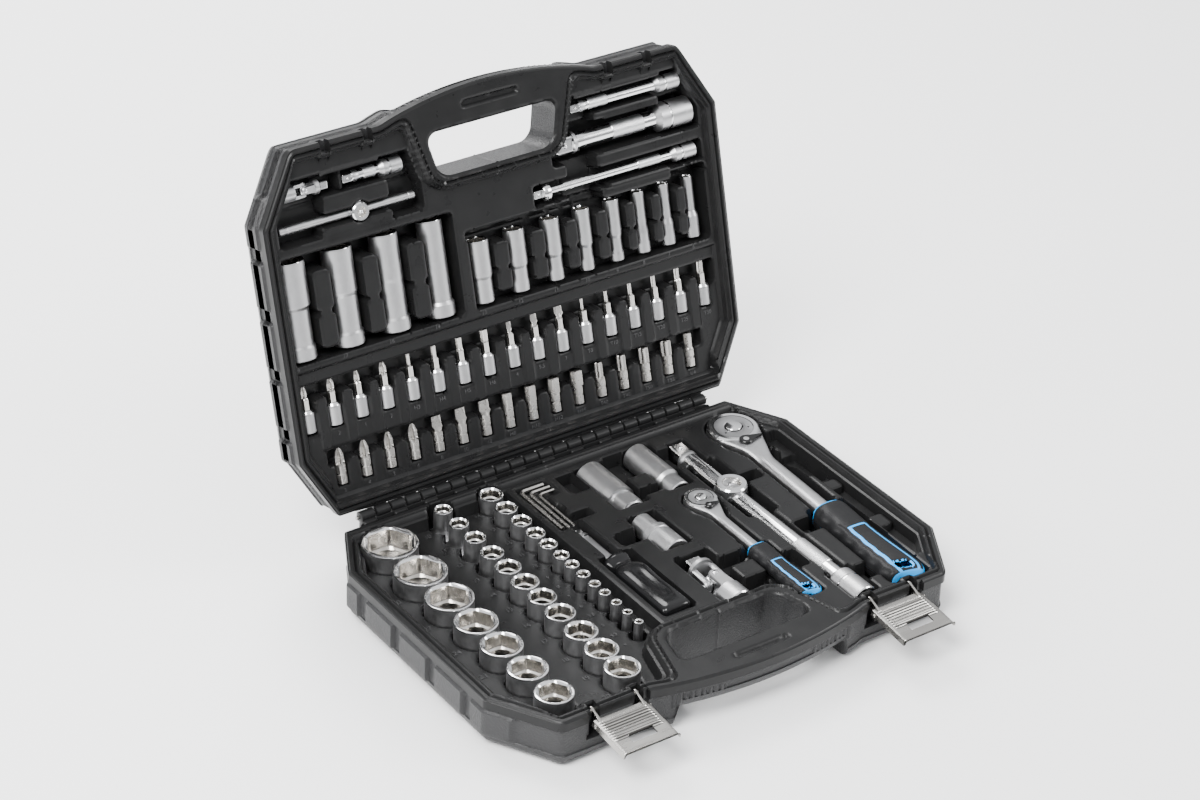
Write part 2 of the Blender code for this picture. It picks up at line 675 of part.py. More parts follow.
def ratchet(prefix, size, half, place_and_turn):
    """A reversing ratchet: body, cover, drive with its square, quick-release button, lever, grip."""
    x, y, angle = place_and_turn
    top = 1 * MM
    root = pivot(prefix, half.spot(x, y, top), (0, 0, angle))
    body = place(prefix + "_body", cylinder(size.head, size.height, 20, "Z", (0, 0, -size.height / 2)),
                 satin_chrome(), root)
    wide, narrow = (w / 2 for w in size.neck)
    start = -size.head * 0.55
    collar = STEEL_GAP - size.grip_start
    neck = [(-wide * 1.5, start), (-wide, start - size.head * 0.9), (-narrow, collar),
            (narrow, collar), (wide, start - size.head * 0.9), (wide * 1.5, start)]
    middle = -size.height / 2
    join(body, prism(neck, middle - size.thick / 2, middle + size.thick / 2))
    tang = size.thick / 2 - 1 * MM
    tang_length = 26 * MM
    join(body, cylinder(tang, tang_length, 12, "Y", (0, -size.grip_start - tang_length / 2 + 3 * MM, middle)))
    bore = size.height - size.roof
    cut(body, cylinder(size.drive + STEEL_GAP, bore, 16, "Z", (0, 0, -size.roof - bore / 2)))
    cut(body, cylinder(size.button + STEEL_GAP, size.height, 12))
    cover_thick = size.roof * 0.35
    cover_radius = size.head * 0.72
    cut(body, cylinder(cover_radius + STEEL_GAP, 2 * cover_thick, 16))
    cover = place(prefix + "_cover", cylinder(cover_radius, cover_thick - STEEL_GAP, 16, "Z",
                  (0, 0, -cover_thick / 2 + STEEL_GAP / 2)), satin_chrome(), root)
    cut(cover, cylinder(size.button + STEEL_GAP, size.height, 12))

    drive_height = bore - 0.8 * MM
    drive_top = -size.roof - STEEL_GAP
    wheel = cylinder(size.drive, drive_height, 16, "Z", (0, 0, drive_top - drive_height / 2))
    drive = place(prefix + "_drive", wheel, satin_chrome(), root)
    male_top = drive_top - drive_height + 1 * MM
    male = -size.height - size.male
    join(drive, box((size.square, size.square, male_top - male), (0, 0, (male_top + male) / 2)))
    well = size.height * 0.5
    cut(drive, cylinder(size.button + STEEL_GAP, 2 * well, 12, "Z", (0, 0, drive_top)))
    stem = well + size.roof - BUTTON_TRAVEL - STEEL_GAP
    rise = BUTTON_TRAVEL + STEEL_GAP
    place(prefix + "_button", cylinder(size.button, stem + rise, 12, "Z", (0, 0, (rise - stem) / 2)),
          satin_chrome(), root)

    lever_pivot = pivot(prefix + "_lever_pivot", (0, -size.head * 1.02, 0), (0, 0, 0), root)
    post = size.head * 0.13
    arm = size.head * 0.2
    base = middle + size.thick / 2
    lever = place(prefix + "_lever", cylinder(post, -base + 1.2 * MM, 12, "Z", (0, 0, (base - 0.6 * MM) / 2)),
                  black_plastic(), lever_pivot)
    slab = [(-arm, -arm), (arm, -arm), (arm * 0.9, arm * 0.6), (-arm * 0.9, arm * 0.6)]
    join(lever, prism(slab, STEEL_GAP - 1.4 * MM, 1.6 * MM))
    hole = post + STEEL_GAP
    cut(body, cylinder(hole, size.thick, 12, "Z", (0, -size.head * 1.02, base)))
    cut(body, cylinder(arm * 1.75, 3 * MM, 16, "Z", (0, -size.head * 1.02, 0)))

    grip_mesh = prism(grip_outline(size), middle - size.grip_thick / 2, middle + size.grip_thick / 2)
    grip = place(prefix + "_grip", grip_mesh, grip_rubber(), root)
    bevel = grip.modifiers.new("edges", "BEVEL")
    bevel.width = size.grip_thick * 0.27
    bevel.segments = 2
    bevel.limit_method = "ANGLE"
    bevel.angle_limit = math.radians(50)
    cut(grip, cylinder(tang + STEEL_GAP, 2 * tang_length, 12, "Y", (0, -size.grip_start - 1 * MM, middle)))
    wide_end = size.grip_width[1]
    cut(grip, cylinder(wide_end * 0.14, 60 * MM, 12, "Z", (0, wide_end * 0.32 - size.grip_end, 0)))

    lean = (x, y, angle)
    half.round_pocket(x, y, size.head + FIT, top + size.height + STEEL_GAP, 24)
    half.round_pocket(x, y, size.square * 0.72 + FIT, top + size.height + size.male + STEEL_GAP, 16)
    side = wide * 1.5 + FIT
    deep = top + size.height / 2
    half.pocket(x - side, x + side, y - size.grip_start, y, deep + size.thick / 2 + STEEL_GAP, lean)
    side = wide_end / 2 + FIT
    half.pocket(x - side, x + side, y - size.grip_end - FIT, y - size.grip_start + 1.5 * FIT,
                deep + size.grip_thick / 2 + STEEL_GAP, lean)


def grip_outline(size):
    """A grip's plan: narrow at the collar, swelling to a round end."""
    start, end = size.grip_width[0] / 2, size.grip_width[1] / 2
    y0, y1 = -size.grip_start, -size.grip_end
    waist = start * 0.86
    run = y1 - y0
    right = [(start * 0.9, y0), (start, y0 - 8 * MM), (waist, y0 + run * 0.3), (end, y0 + run * 0.75)]
    right += [(end * 0.96, y1 + end * 0.7), (end * 0.72, y1 + end * 0.15), (end * 0.4, y1)]
    return right + [(-x, y) for x, y in reversed(right)]


def spinner(half):
    """The quarter inch spinner handle: steel shaft with a square tip, and its grip."""
    x, tip, start, end = -20 * MM, 63 * MM, 14 * MM, -69 * MM
    radius, shank = 13 * MM, 3.6 * MM
    depth = radius + 0.5 * MM
    at = half.spot(x, tip, depth)
    buried = 24 * MM
    round_part = tip - start + buried - 7 * MM
    rod = cylinder(shank, round_part, 12, "Z", (0, 0, 7 * MM + round_part / 2))
    shaft = place("spinner_shaft", rod, satin_chrome(), None, at, ALONG_FRONT)
    join(shaft, box((QUARTER_SQUARE, QUARTER_SQUARE, 9 * MM), (0, 0, 4.5 * MM)))
    low, high = tip - start, tip - end
    profile = [
        (0, high), (radius - 2 * MM, high), (radius, high - 3 * MM), (radius, low + 34 * MM),
        (radius - 3 * MM, low + 22 * MM), (radius - 2 * MM, low + 8 * MM), (radius - 5 * MM, low), (0, low),
    ]
    grip = revolve("spinner_grip", profile, 16, grip_rubber(), None, at, ALONG_FRONT)
    cut(grip, cylinder(shank + STEEL_GAP, buried + 4 * MM, 12, "Z", (0, 0, low + buried / 2 - 1 * MM)))
    side = radius + FIT
    half.pocket(x - side, x + side, end - FIT, start + FIT, depth + radius + STEEL_GAP)
    side = 6 * MM
    half.pocket(x - side, x + side, start - FIT, tip + FIT, depth + shank + STEEL_GAP)


def hex_keys(half):
    """Three L-shaped hex keys nested in each other, in a three-sided well."""
    thick = 3 * MM
    depth = 6 * MM
    corner_x, corner_y, long, short = -32 * MM, 121 * MM, 58 * MM, 21 * MM
    for i, across in enumerate(HEX_KEYS):
        inset = i * (thick + 2 * MM)
        x, y = corner_x + inset, corner_y - inset
        curve = bpy.data.curves.new(f"hex_key_{i + 1}", "CURVE")
        curve.dimensions = "3D"
        curve.bevel_depth = across * MM / 2 / math.cos(math.pi / 6)
        curve.bevel_resolution = 1
        curve.use_fill_caps = True
        bend = 4 * MM
        corner = arc(x + bend, y - bend, bend, 90, 180, 4)
        route = [(x + short - inset * 0.9, y), *corner, (x, y - long + inset)]
        line = curve.splines.new("POLY")
        line.points.add(len(route) - 1)
        for point, (px, py) in zip(line.points, route):
            point.co = (px, py, 0, 1)
        lowest = depth + thick / 2
        middle = half.spot(0, 0, lowest - across * MM / 2)
        key = place(f"hex_key_{i + 1}", curve, satin_chrome(), None, middle)
        key.name = f"hex_key_{i + 1}"
    floor = depth + thick / 2 + STEEL_GAP
    half.pocket(corner_x - 3 * MM, corner_x + short + 3 * MM, corner_y - 17 * MM, corner_y + 3 * MM, floor)
    half.pocket(corner_x - 3 * MM, corner_x + 14 * MM, corner_y - long - 3 * MM, corner_y, floor)


def long_sockets(half, parent):
    """The four long half inch sockets of the lid, mouths towards the handle."""
    length = LONG_BACK_Y - LONG_MOUTH_Y
    for size, x in LONG_SOCKETS:
        mouth = outer_radius(size) if size < 19 else 12.8 * MM
        ring, neck = 12 * MM, 11 * MM
        profile = [(0, length), (mouth, length), (mouth, length * 0.41), (ring, length * 0.4)]
        profile += [(ring, length * 0.34), (neck, length * 0.33), (neck, 0), (0, 0)]
        widest = max(mouth, ring)
        depth = LID_DECK - 1 * MM + widest
        socket(f"long_socket_{size}", size, profile, length, HALF_SQUARE, parent,
               half.spot(x * MM, LONG_BACK_Y, depth), ALONG_FRONT)
        side = widest + FIT
        floor = depth + widest + STEEL_GAP
        half.pocket(x * MM - side, x * MM + side, LONG_MOUTH_Y - 2 * FIT, LONG_BACK_Y + FIT, floor)


def lid_bars(half, parent):
    """The three bars by the lid's right end: 100 mm and 150 mm quarter inch, 125 mm half inch."""
    bars = (
        ("extension_100", 73, -110.5, 100, QUARTER_SQUARE, 8, 4, 6.2, 17),
        ("extension_125", 57.5, -83.5, 125, HALF_SQUARE, 15, 6.5, 11.2, 30),
        ("driver_bar_150", 31.5, -53, 150, QUARTER_SQUARE, 8, 4, 6.2, 20),
    )
    for name, x, y, length, square, male, shank, female, female_length in bars:
        depth = LID_DECK - 1 * MM + female * MM
        bar(name, length * MM, square, male * MM, shank * MM, female * MM, female_length * MM, parent,
            half.spot(x * MM, y * MM, depth), ALONG_X)
        side = (female + 1) * MM
        x0, x1 = x * MM - FIT, (x + length) * MM + FIT
        deep = depth + STEEL_GAP
        half.pocket(x1 - (female_length + 5) * MM, x1, y * MM - side, y * MM + side, deep + female * MM)
        side = max(shank + 1, square / MM / 2 + 1) * MM
        floor = deep + max(shank * MM, square / 2)
        half.pocket(x0, x1 - female_length * MM, y * MM - side, y * MM + side, floor)


def lid_corner(half, parent):
    """The open well at the lid's left: universal joint, 50 mm extension, and T-bar with its sliding head."""
    floor = LID_DECK - 1 * MM + 14 * MM
    half.pocket(-186 * MM, -66 * MM, -98 * MM, -70 * MM, floor + STEEL_GAP)
    half.pocket(-181.5 * MM, -66 * MM, -114.6 * MM, -95 * MM, floor + STEEL_GAP)
    radius = 6.2 * MM
    depth = floor - radius
    universal_joint("small_joint", QUARTER_SQUARE, radius, 39 * MM, 20 * MM,
                    half.spot(-159 * MM, -106 * MM, depth), ALONG_X, parent)
    bar("extension_50", 50 * MM, QUARTER_SQUARE, 8 * MM, 4 * MM, radius, 17 * MM, parent,
        half.spot(-127 * MM, -106 * MM, depth), ALONG_X)
    rod = 3 * MM
    head_radius = 6.5 * MM
    depth = floor - head_radius
    y = -80 * MM
    place("t_bar", cylinder(rod, 115 * MM, 12, "X"), satin_chrome(), parent, half.spot(-126.5 * MM, y, depth))
    head = place("t_bar_head", cylinder(head_radius, 13 * MM, 16, "Z"), satin_chrome(), parent,
                 half.spot(-117.5 * MM, y, depth))
    join(head, box((QUARTER_SQUARE, 9 * MM, QUARTER_SQUARE), (0, -9 * MM, 0)))
    cut(head, cylinder(rod + STEEL_GAP, 30 * MM, 12, "X"))


def lid_rows(half):
    """The troughs of the lid's rows without nodes: long quarter inch sockets, bit sockets and loose bits."""
    half.pocket(-31 * MM, 186 * MM, -35 * MM, 20 * MM, 21 * MM)
    half.pocket(-190 * MM, 184 * MM, 35 * MM, 76 * MM, 19 * MM)
    half.pocket(-172 * MM, 166 * MM, 89 * MM, 122 * MM, 14 * MM)


def base_columns(half):
    """The slots of the two columns of smaller sockets in the base."""
    for x, back, front, width in (MIDDLE_SLOT, INNER_SLOT):
        half.pocket(x - width / 2, x + width / 2, front, back, SOCKET_LENGTH - 2 * MM)


def build():
    """The whole set."""
    for old in list(bpy.data.objects):
        bpy.data.objects.remove(old)
    base = Half("base_case", None, (0, 0, 0), BASE_HEIGHT, -1, BASE_HEIGHT, BASE_DECK)
    hinge = pivot("lid_hinge", (0, HINGE_Y, HINGE_Z), (-LID_OPENING, 0, 0))
    closed = (0, -HINGE_Y, -HINGE_Z)
    lid = Half("lid_case", hinge, closed, BASE_HEIGHT + STEEL_GAP, 1, LID_HEIGHT, LID_DECK)

    outer_sockets(base)
    base_columns(base)
    ratchet("ratchet", BIG_RATCHET, base, BIG_RATCHET_AT)
    ratchet("small_ratchet", SMALL_RATCHET, base, SMALL_RATCHET_AT)
    long_bar(base)
    tube_socket("spark_socket_21", 21, 13.5 * MM, 61 * MM, 32 * MM, 61 * MM, base)
    tube_socket("spark_socket_16", 16, 11.2 * MM, 61 * MM, 77 * MM, 63 * MM, base)
    bit_adapter(base)
    joint_radius = 12 * MM
    joint_at = (28 * MM, -47 * MM)
    universal_joint("universal_joint", HALF_SQUARE, joint_radius, 62 * MM, 30 * MM,
                    base.spot(*joint_at, joint_radius + 0.5 * MM), ALONG_FRONT)
    side = joint_radius + 3.5 * MM
    joint_floor = 2 * joint_radius + 0.5 * MM + STEEL_GAP
    x0, x1 = joint_at[0] - side, joint_at[0] + side
    base.pocket(x0, x1, joint_at[1] - 33 * MM, joint_at[1] + 32 * MM, joint_floor)
    base.pocket(x0, x1, joint_at[1] - 8 * MM, joint_at[1] + 32 * MM, joint_floor + joint_radius * 0.13)
    spinner(base)
    hex_keys(base)

    long_sockets(lid, hinge)
    lid_bars(lid, hinge)
    lid_corner(lid, hinge)
    lid_rows(lid)

    for half, outline_shift in ((base, -KNUCKLE_PITCH / 4), (lid, KNUCKLE_PITCH / 4)):
        half.through(handle_hole(), handle_hole(SKIN))
        latch_seats(half)
        knuckles(half, outline_shift)
    for side in (-1, 1):
        latch(side, base)
    half_case(base)
    half_case(lid)
    rod_length = KNUCKLE_PITCH * KNUCKLE_PAIRS + 4 * MM
    place("hinge_rod", cylinder(ROD_RADIUS, rod_length, 12, "X"), zinc_plate(), None, (0, HINGE_Y, HINGE_Z))


build()
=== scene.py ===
"""Socket wrench set in a folding carrying case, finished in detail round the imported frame.

Lengths in this file are millimetres in the row frame: origin under the base's middle, +X right, +Y towards
the hinge, +Z up. A depth is a distance from the parting plane into either half. Lid pieces are laid out as in
the closed case and turned open about the hinge axis.
"""

import logging
import math
from dataclasses import dataclass, field
from enum import Enum
from typing import Callable, Sequence

import bmesh
import bpy
import numpy as np
from mathutils import Matrix


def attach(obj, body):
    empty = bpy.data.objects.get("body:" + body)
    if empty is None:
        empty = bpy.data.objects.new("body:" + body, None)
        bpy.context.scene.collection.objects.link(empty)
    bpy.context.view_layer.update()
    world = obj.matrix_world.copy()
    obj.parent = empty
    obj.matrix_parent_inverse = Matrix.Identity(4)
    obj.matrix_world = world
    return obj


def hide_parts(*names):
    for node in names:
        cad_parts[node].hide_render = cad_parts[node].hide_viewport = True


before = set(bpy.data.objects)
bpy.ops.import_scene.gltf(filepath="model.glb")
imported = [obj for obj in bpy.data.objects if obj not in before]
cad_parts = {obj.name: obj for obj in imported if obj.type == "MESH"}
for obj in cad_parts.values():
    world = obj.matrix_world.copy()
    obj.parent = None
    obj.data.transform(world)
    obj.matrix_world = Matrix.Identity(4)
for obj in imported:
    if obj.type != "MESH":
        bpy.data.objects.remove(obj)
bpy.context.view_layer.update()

LOG = logging.getLogger("socket_set")

Array = np.ndarray
Field = Callable[[Array, Array], Array]
Point = tuple[float, float, float]

MM = 0.001
BRACE = 0.45  # how far in from a stretch's end its added ring lies
LONG_STRETCH = 1.6  # stretches over this get added rings
AROUND = 72  # points round a turned piece: has both hexagon and square corners on it
PARTING = 40.0
LID_PARTING = 40.3
HINGE_Y = 146.1
HINGE_Z = 42.2
OPENING = math.radians(105.3)
HALF_SQUARE = 12.7
QUARTER_SQUARE = 6.35


# ---------------------------------------------------------------- shapes


class Shape:
    """The points and faces of one piece, gathered from grids, with a finish number on each face."""

    def __init__(self) -> None:
        """An empty shape."""
        self.points: list[Array] = []
        self.faces: list[Array] = []
        self.marks: list[Array] = []
        self.count = 0

    def grid(self, points: Array, mark: int | Sequence[int] = 0, wrap_u: bool = False,
             wrap_v: bool = False, keep: Array | None = None) -> "Shape":
        """Adds the surface through a grid of points.

        Args:
            points: Array of rows by columns by three.
            mark: The finish number, or one for each row of faces.
            wrap_u: Whether the last row joins the first.
            wrap_v: Whether the last column joins the first.
            keep: Which faces stay, rows by columns of faces, or all of them.

        Returns:
            This shape.
        """
        rows, columns = points.shape[:2]
        index = np.arange(rows * columns).reshape(rows, columns) + self.count
        if wrap_u:
            index = np.vstack([index, index[:1]])
        if wrap_v:
            index = np.hstack([index, index[:, :1]])
        quads = np.stack([index[:-1, :-1], index[:-1, 1:], index[1:, 1:], index[1:, :-1]], -1)
        marks = np.broadcast_to(np.asarray(mark).reshape(-1, 1), quads.shape[:2])
        if keep is not None:
            quads, marks = quads[keep], marks[keep]
        self.points.append(points.reshape(-1, 3))
        self.faces.append(quads.reshape(-1, 4))
        self.marks.append(np.ascontiguousarray(marks).reshape(-1))
        self.count += rows * columns
        return self

    def add(self, other: "Shape", place: "Place | None" = None) -> "Shape":
        """Adds another shape's grids, moved to their place. Faces that were stitched on aren't carried over.

        Args:
            other: The shape to add.
            place: Where its own frame lies, or none to leave it.

        Returns:
            This shape.
        """
        for points, faces, marks in zip(other.points, other.faces, other.marks):
            self.points.append(place.of(points) if place else points)
            self.faces.append(faces + self.count)
            self.marks.append(marks)
        self.count += other.count
        return self

    def stitched(self, edges: Array, below: int, mark: int) -> "Shape":
        """Adds a face under each edge, down to the same points of a second grid.

        Args:
            edges: Pairs of point numbers in the first grid.
            below: How many points later the second grid's same point is.
            mark: The finish number of the new faces.

        Returns:
            This shape.
        """
        under = edges + below
        self.faces.append(np.stack([edges[:, 0], edges[:, 1], under[:, 1], under[:, 0]], -1))
        self.marks.append(np.full(len(edges), mark))
        return self

    def moved(self, x: float, y: float, z: float) -> "Shape":
        """The same shape, moved along the axes."""
        self.points = [p + np.array([x, y, z]) for p in self.points]
        return self

    def turned_open(self) -> "Shape":
        """The same shape, turned open with the lid."""
        self.points = [opened(p) for p in self.points]
        return self

    def marked(self, mark: int) -> "Shape":
        """The same shape with one finish number on every face."""
        self.marks = [np.full_like(m, mark) for m in self.marks]
        return self


def open_edges(size: tuple[int, int], keep: Array) -> Array:
    """Finds the edges that only one of a grid's kept faces uses.

    Args:
        size: Rows and columns of points.
        keep: Which faces are there, rows by columns of faces.

    Returns:
        Pairs of point numbers, each in its face's direction.
    """
    index = np.arange(size[0] * size[1]).reshape(size)
    quads = np.stack([index[:-1, :-1], index[:-1, 1:], index[1:, 1:], index[1:, :-1]], -1)[keep]
    edges = np.concatenate([quads[:, [i, (i + 1) % 4]] for i in range(4)])
    _, where, used = np.unique(np.sort(edges, 1), axis=0, return_index=True, return_counts=True)
    return edges[where[used == 1]]


@dataclass(frozen=True)
class Place:
    """Where a tool's own frame lies: its zero, and the directions of its x, y and z."""

    origin: Point
    axes: tuple[Point, Point, Point]
    in_lid: bool = False

    def of(self, points: Array) -> Array:
        """Points of the tool's frame, in the row frame: origin + x X + y Y + z Z, opened with the lid."""
        moved = np.asarray(self.origin) + points @ np.asarray(self.axes, float)
        return opened(moved) if self.in_lid else moved


UPRIGHT = ((1.0, 0.0, 0.0), (0.0, 1.0, 0.0), (0.0, 0.0, 1.0))
TO_FRONT = ((1.0, 0.0, 0.0), (0.0, 0.0, 1.0), (0.0, -1.0, 0.0))
TO_BACK = ((1.0, 0.0, 0.0), (0.0, 0.0, -1.0), (0.0, 1.0, 0.0))
TO_RIGHT = ((0.0, 0.0, -1.0), (0.0, 1.0, 0.0), (1.0, 0.0, 0.0))


def leaning(angle: float) -> tuple[Point, Point, Point]:
    """Axes turned about Z by an angle in radians."""
    c, s = math.cos(angle), math.sin(angle)
    return ((c, s, 0.0), (-s, c, 0.0), (0.0, 0.0, 1.0))


def opened(points: Array) -> Array:
    """Turns points of the closed lid open: a rotation about the hinge axis by the opening angle.

    Args:
        points: Points in the row frame, x, y and z last.

    Returns:
        The turned points.
    """
    c, s = math.cos(OPENING), math.sin(OPENING)
    y, z = points[..., 1] - HINGE_Y, points[..., 2] - HINGE_Z
    return np.stack([points[..., 0], HINGE_Y + c * y + s * z, HINGE_Z - s * y + c * z], -1)


def in_base(x: float, y: float, depth: float, axes: tuple[Point, Point, Point] = UPRIGHT) -> Place:
    """A place in the base, by its depth."""
    return Place((x, y, PARTING - depth), axes)


def in_lid(x: float, y: float, depth: float, axes: tuple[Point, Point, Point] = UPRIGHT) -> Place:
    """A place in the lid, by its depth, as in the closed case."""
    return Place((x, y, LID_PARTING + depth), axes, True)


def angles() -> Array:
    """The angles of the points round a turned piece."""
    return np.arange(AROUND) * 2 * math.pi / AROUND


def polygon(sides: int, across: float, soften: float = 0.03, turn: float | None = None) -> Array:
    """Radii of a regular polygon: apothem over the cosine of the angle from the flat's middle, capped.

    Args:
        sides: How many sides.
        across: Width across flats.
        soften: Share of the corner that is cut off.
        turn: Angle of the pattern, or none for a square whose flats face the axes.

    Returns:
        A radius for every angle.
    """
    step = 2 * math.pi / sides
    turn = (step / 2 if sides == 4 else 0.0) if turn is None else turn
    off = np.mod(angles() - turn, step) - step / 2
    return np.minimum(across / 2 / np.cos(off), across / 2 / math.cos(step / 2) * (1 - soften))


def star(points: int, tip: float, valley: float) -> Array:
    """Radii of a rounded star: the mean of tip and valley plus half their difference times a cosine."""
    wave = np.cos(angles() * points)
    return (tip + valley) / 2 + (tip - valley) / 2 * wave


def cross(reach: float, width: float) -> Array:
    """Radii of a cross-shaped section: a narrow blade along each axis with rounded inner corners.

    Args:
        reach: Radius at a blade's end.
        width: A blade's width.

    Returns:
        A radius for every angle.
    """
    turn = np.mod(angles() + math.pi / 4, math.pi / 2) - math.pi / 4
    blade = np.minimum(reach, width / 2 / np.maximum(np.abs(np.sin(turn)), 1e-3))
    return np.maximum(blade, width * 0.75)


def turned(rings: Sequence[tuple[float, float | Array]]) -> Array:
    """A surface from rings: (r cos a, r sin a, z) for every angle a.

    Args:
        rings: Height and radius, or radii, of each ring.

    Returns:
        Rings by angles by three.
    """
    a = angles()
    radii = np.array([np.broadcast_to(np.asarray(r, float), (AROUND,)) for _, r in rings])
    heights = np.array([z for z, _ in rings])[:, None] * np.ones(AROUND)
    return np.stack([radii * np.cos(a), radii * np.sin(a), heights], -1)


def braced(rings: Sequence[tuple[float, float | Array]],
           marks: Sequence[int]) -> tuple[list[tuple[float, float | Array]], list[int]]:
    """Adds a ring a little way in from each end of every long stretch, so that its shading stays even.

    Args:
        rings: Height and radius or radii of each ring.
        marks: The finish number of each stretch between two rings.

    Returns:
        The rings and marks with the added ones, each on the straight line between its neighbours.
    """
    out, kept = [rings[0]], []
    for (z0, r0), (z1, r1), mark in zip(rings, rings[1:], marks):
        run = abs(z1 - z0)
        shares = [BRACE / run, 1 - BRACE / run] if run > LONG_STRETCH else []
        for share in shares:
            out.append((z0 + (z1 - z0) * share, np.asarray(r0) * (1 - share) + np.asarray(r1) * share))
        out.append((z1, r1))
        kept += [mark] * (len(shares) + 1)
    return out, kept


def closed_turn(rings: Sequence[tuple[float, float | Array]], marks: Sequence[int] | int = 0) -> Shape:
    """A turned piece closed at both ends by poles.

    Args:
        rings: Height and radius, or radii, of each ring.
        marks: One finish number, or one for each stretch.

    Returns:
        The shape, about z.
    """
    ends = [(rings[0][0], 0.0), *rings, (rings[-1][0], 0.0)]
    marks = [marks] * (len(ends) - 1) if isinstance(marks, int) else [marks[0], *marks, marks[-1]]
    ends, marks = braced(ends, marks)
    return Shape().grid(turned(ends), marks, wrap_v=True)


def loft(stations: Array, width: Array, height: Array, power: Array | float, centre_x: Array | float = 0.0,
         centre_z: Array | float = 0.0, count: int = 56) -> Array:
    """Rounded sections carried along -Y: x and z are powers of a cosine and a sine.

    Args:
        stations: Distances along -Y.
        width: Half width at each.
        height: Half height at each.
        power: 2 gives an ellipse, more gives a rounder rectangle.
        centre_x: The section's middle in x at each.
        centre_z: The section's middle in z at each.
        count: Points round a section.

    Returns:
        Stations by points by three.
    """
    a = np.arange(count) * 2 * math.pi / count + math.pi / count
    power = np.broadcast_to(np.asarray(power, float), stations.shape)[:, None]
    c, s = np.cos(a)[None], np.sin(a)[None]
    x = np.sign(c) * np.abs(c) ** (2 / power) * width[:, None]
    z = np.sign(s) * np.abs(s) ** (2 / power) * height[:, None]
    x = x + np.broadcast_to(np.asarray(centre_x, float), stations.shape)[:, None]
    z = z + np.broadcast_to(np.asarray(centre_z, float), stations.shape)[:, None]
    return np.stack([x, np.broadcast_to(-stations[:, None], x.shape), z], -1)


def closed_loft(points: Array, mark: int | Sequence[int] = 0) -> Shape:
    """A loft closed at both ends on its sections' middles.

    Args:
        points: Stations by points by three.
        mark: One finish number, or one for each stretch.

    Returns:
        The shape.
    """
    first = np.broadcast_to(points[:1].mean(1, keepdims=True), points[:1].shape)
    last = np.broadcast_to(points[-1:].mean(1, keepdims=True), points[-1:].shape)
    if not isinstance(mark, int):
        mark = [mark[0], *mark, mark[-1]]
    return Shape().grid(np.concatenate([first, points, last]), mark, wrap_v=True)


def block(low: Point, high: Point, round_off: float = 0.4, mark: int = 0) -> Shape:
    """A box with rounded edges: a loft of squarish sections along y that shrink by the edge at both ends.

    Args:
        low: Lowest corner.
        high: Highest corner.
        round_off: Size of the edges.
        mark: Finish number.

    Returns:
        The shape.
    """
    half = (np.array(high) - np.array(low)) / 2
    middle = (np.array(high) + np.array(low)) / 2
    r = min(round_off, *(half * 0.9))
    run = np.array([-half[1], -half[1] + r * 0.3, -half[1] + r, half[1] - r, half[1] - r * 0.3, half[1]])
    shrink = np.array([r, r * 0.3, 0, 0, r * 0.3, r])
    corner = 8.0
    shape = loft(run, half[0] - shrink, half[2] - shrink, corner, 0.0, 0.0, 32) * np.array([1, -1, 1])
    return closed_loft(shape + middle, mark)


def tube_path(path: Array, radius: float, sides: int = 6, turn: float = 0.0) -> Shape:
    """A bar of regular section along a level path: each ring is spanned by the path's side and z.

    Args:
        path: Points of the path.
        radius: Radius to the section's corners.
        sides: Corners of the section.
        turn: Angle of the first corner.

    Returns:
        The closed shape.
    """
    tangent = np.gradient(path, axis=0)
    tangent /= np.linalg.norm(tangent, axis=1, keepdims=True)
    up = np.array([0.0, 0.0, 1.0])
    side = np.cross(tangent, up)
    a = np.arange(sides) * 2 * math.pi / sides + turn
    ring = side[:, None] * np.cos(a)[None, :, None] + up * np.sin(a)[None, :, None]
    points = path[:, None] + ring * radius
    return closed_loft(points)


def make_piece(name: str, shape: Shape, finishes: Sequence[bpy.types.Material], body: str,
               replaces: Sequence[str] = (), sharp: float = 34.0) -> bpy.types.Object:
    """Makes one piece of the model from a shape and reports it.

    Args:
        name: The piece's name.
        shape: Its points and faces in millimetres.
        finishes: One material for each finish number.
        body: The body it rides on.
        replaces: The frame's nodes it stands for.
        sharp: Edges that turn by more than this many degrees stay sharp.

    Returns:
        The object, at the origin.
    """
    mesh = bpy.data.meshes.new(name)
    mesh.from_pydata((np.concatenate(shape.points) * MM).tolist(), [], np.concatenate(shape.faces).tolist())
    mesh.polygons.foreach_set("material_index", np.concatenate(shape.marks).astype(np.int32))
    work = bmesh.new()
    work.from_mesh(mesh)
    bmesh.ops.remove_doubles(work, verts=work.verts, dist=0.004 * MM)
    bmesh.ops.dissolve_degenerate(work, dist=0.002 * MM, edges=work.edges)
    bmesh.ops.recalc_face_normals(work, faces=work.faces)
    work.to_mesh(mesh)
    work.free()
    for finish in finishes:
        mesh.materials.append(finish)
    mesh.shade_smooth()
    mesh.set_sharp_from_angle(angle=math.radians(sharp))
    piece = bpy.data.objects.new(name, mesh)
    bpy.context.scene.collection.objects.link(piece)
    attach(piece, body)
    if replaces:
        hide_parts(*replaces)
    LOG.info("%s: %d faces on %s", name, len(mesh.polygons), body)
    return piece


# ---------------------------------------------------------------- finishes


def shader_node(tree: bpy.types.NodeTree, kind: str, source: bpy.types.NodeSocket | None = None,
                socket: str = "Vector", **values: float) -> bpy.types.Node:
    """Adds a shader node.

    Args:
        tree: The node tree.
        kind: The node's type.
        source: An output that feeds it, if any.
        socket: The input which that output feeds.
        values: Inputs to set, with underscores for the spaces in their names.

    Returns:
        The node.
    """
    node = tree.nodes.new(kind)
    if source is not None:
        tree.links.new(source, node.inputs[socket])
    for name, value in values.items():
        node.inputs[name.replace("_", " ")].default_value = value
    return node


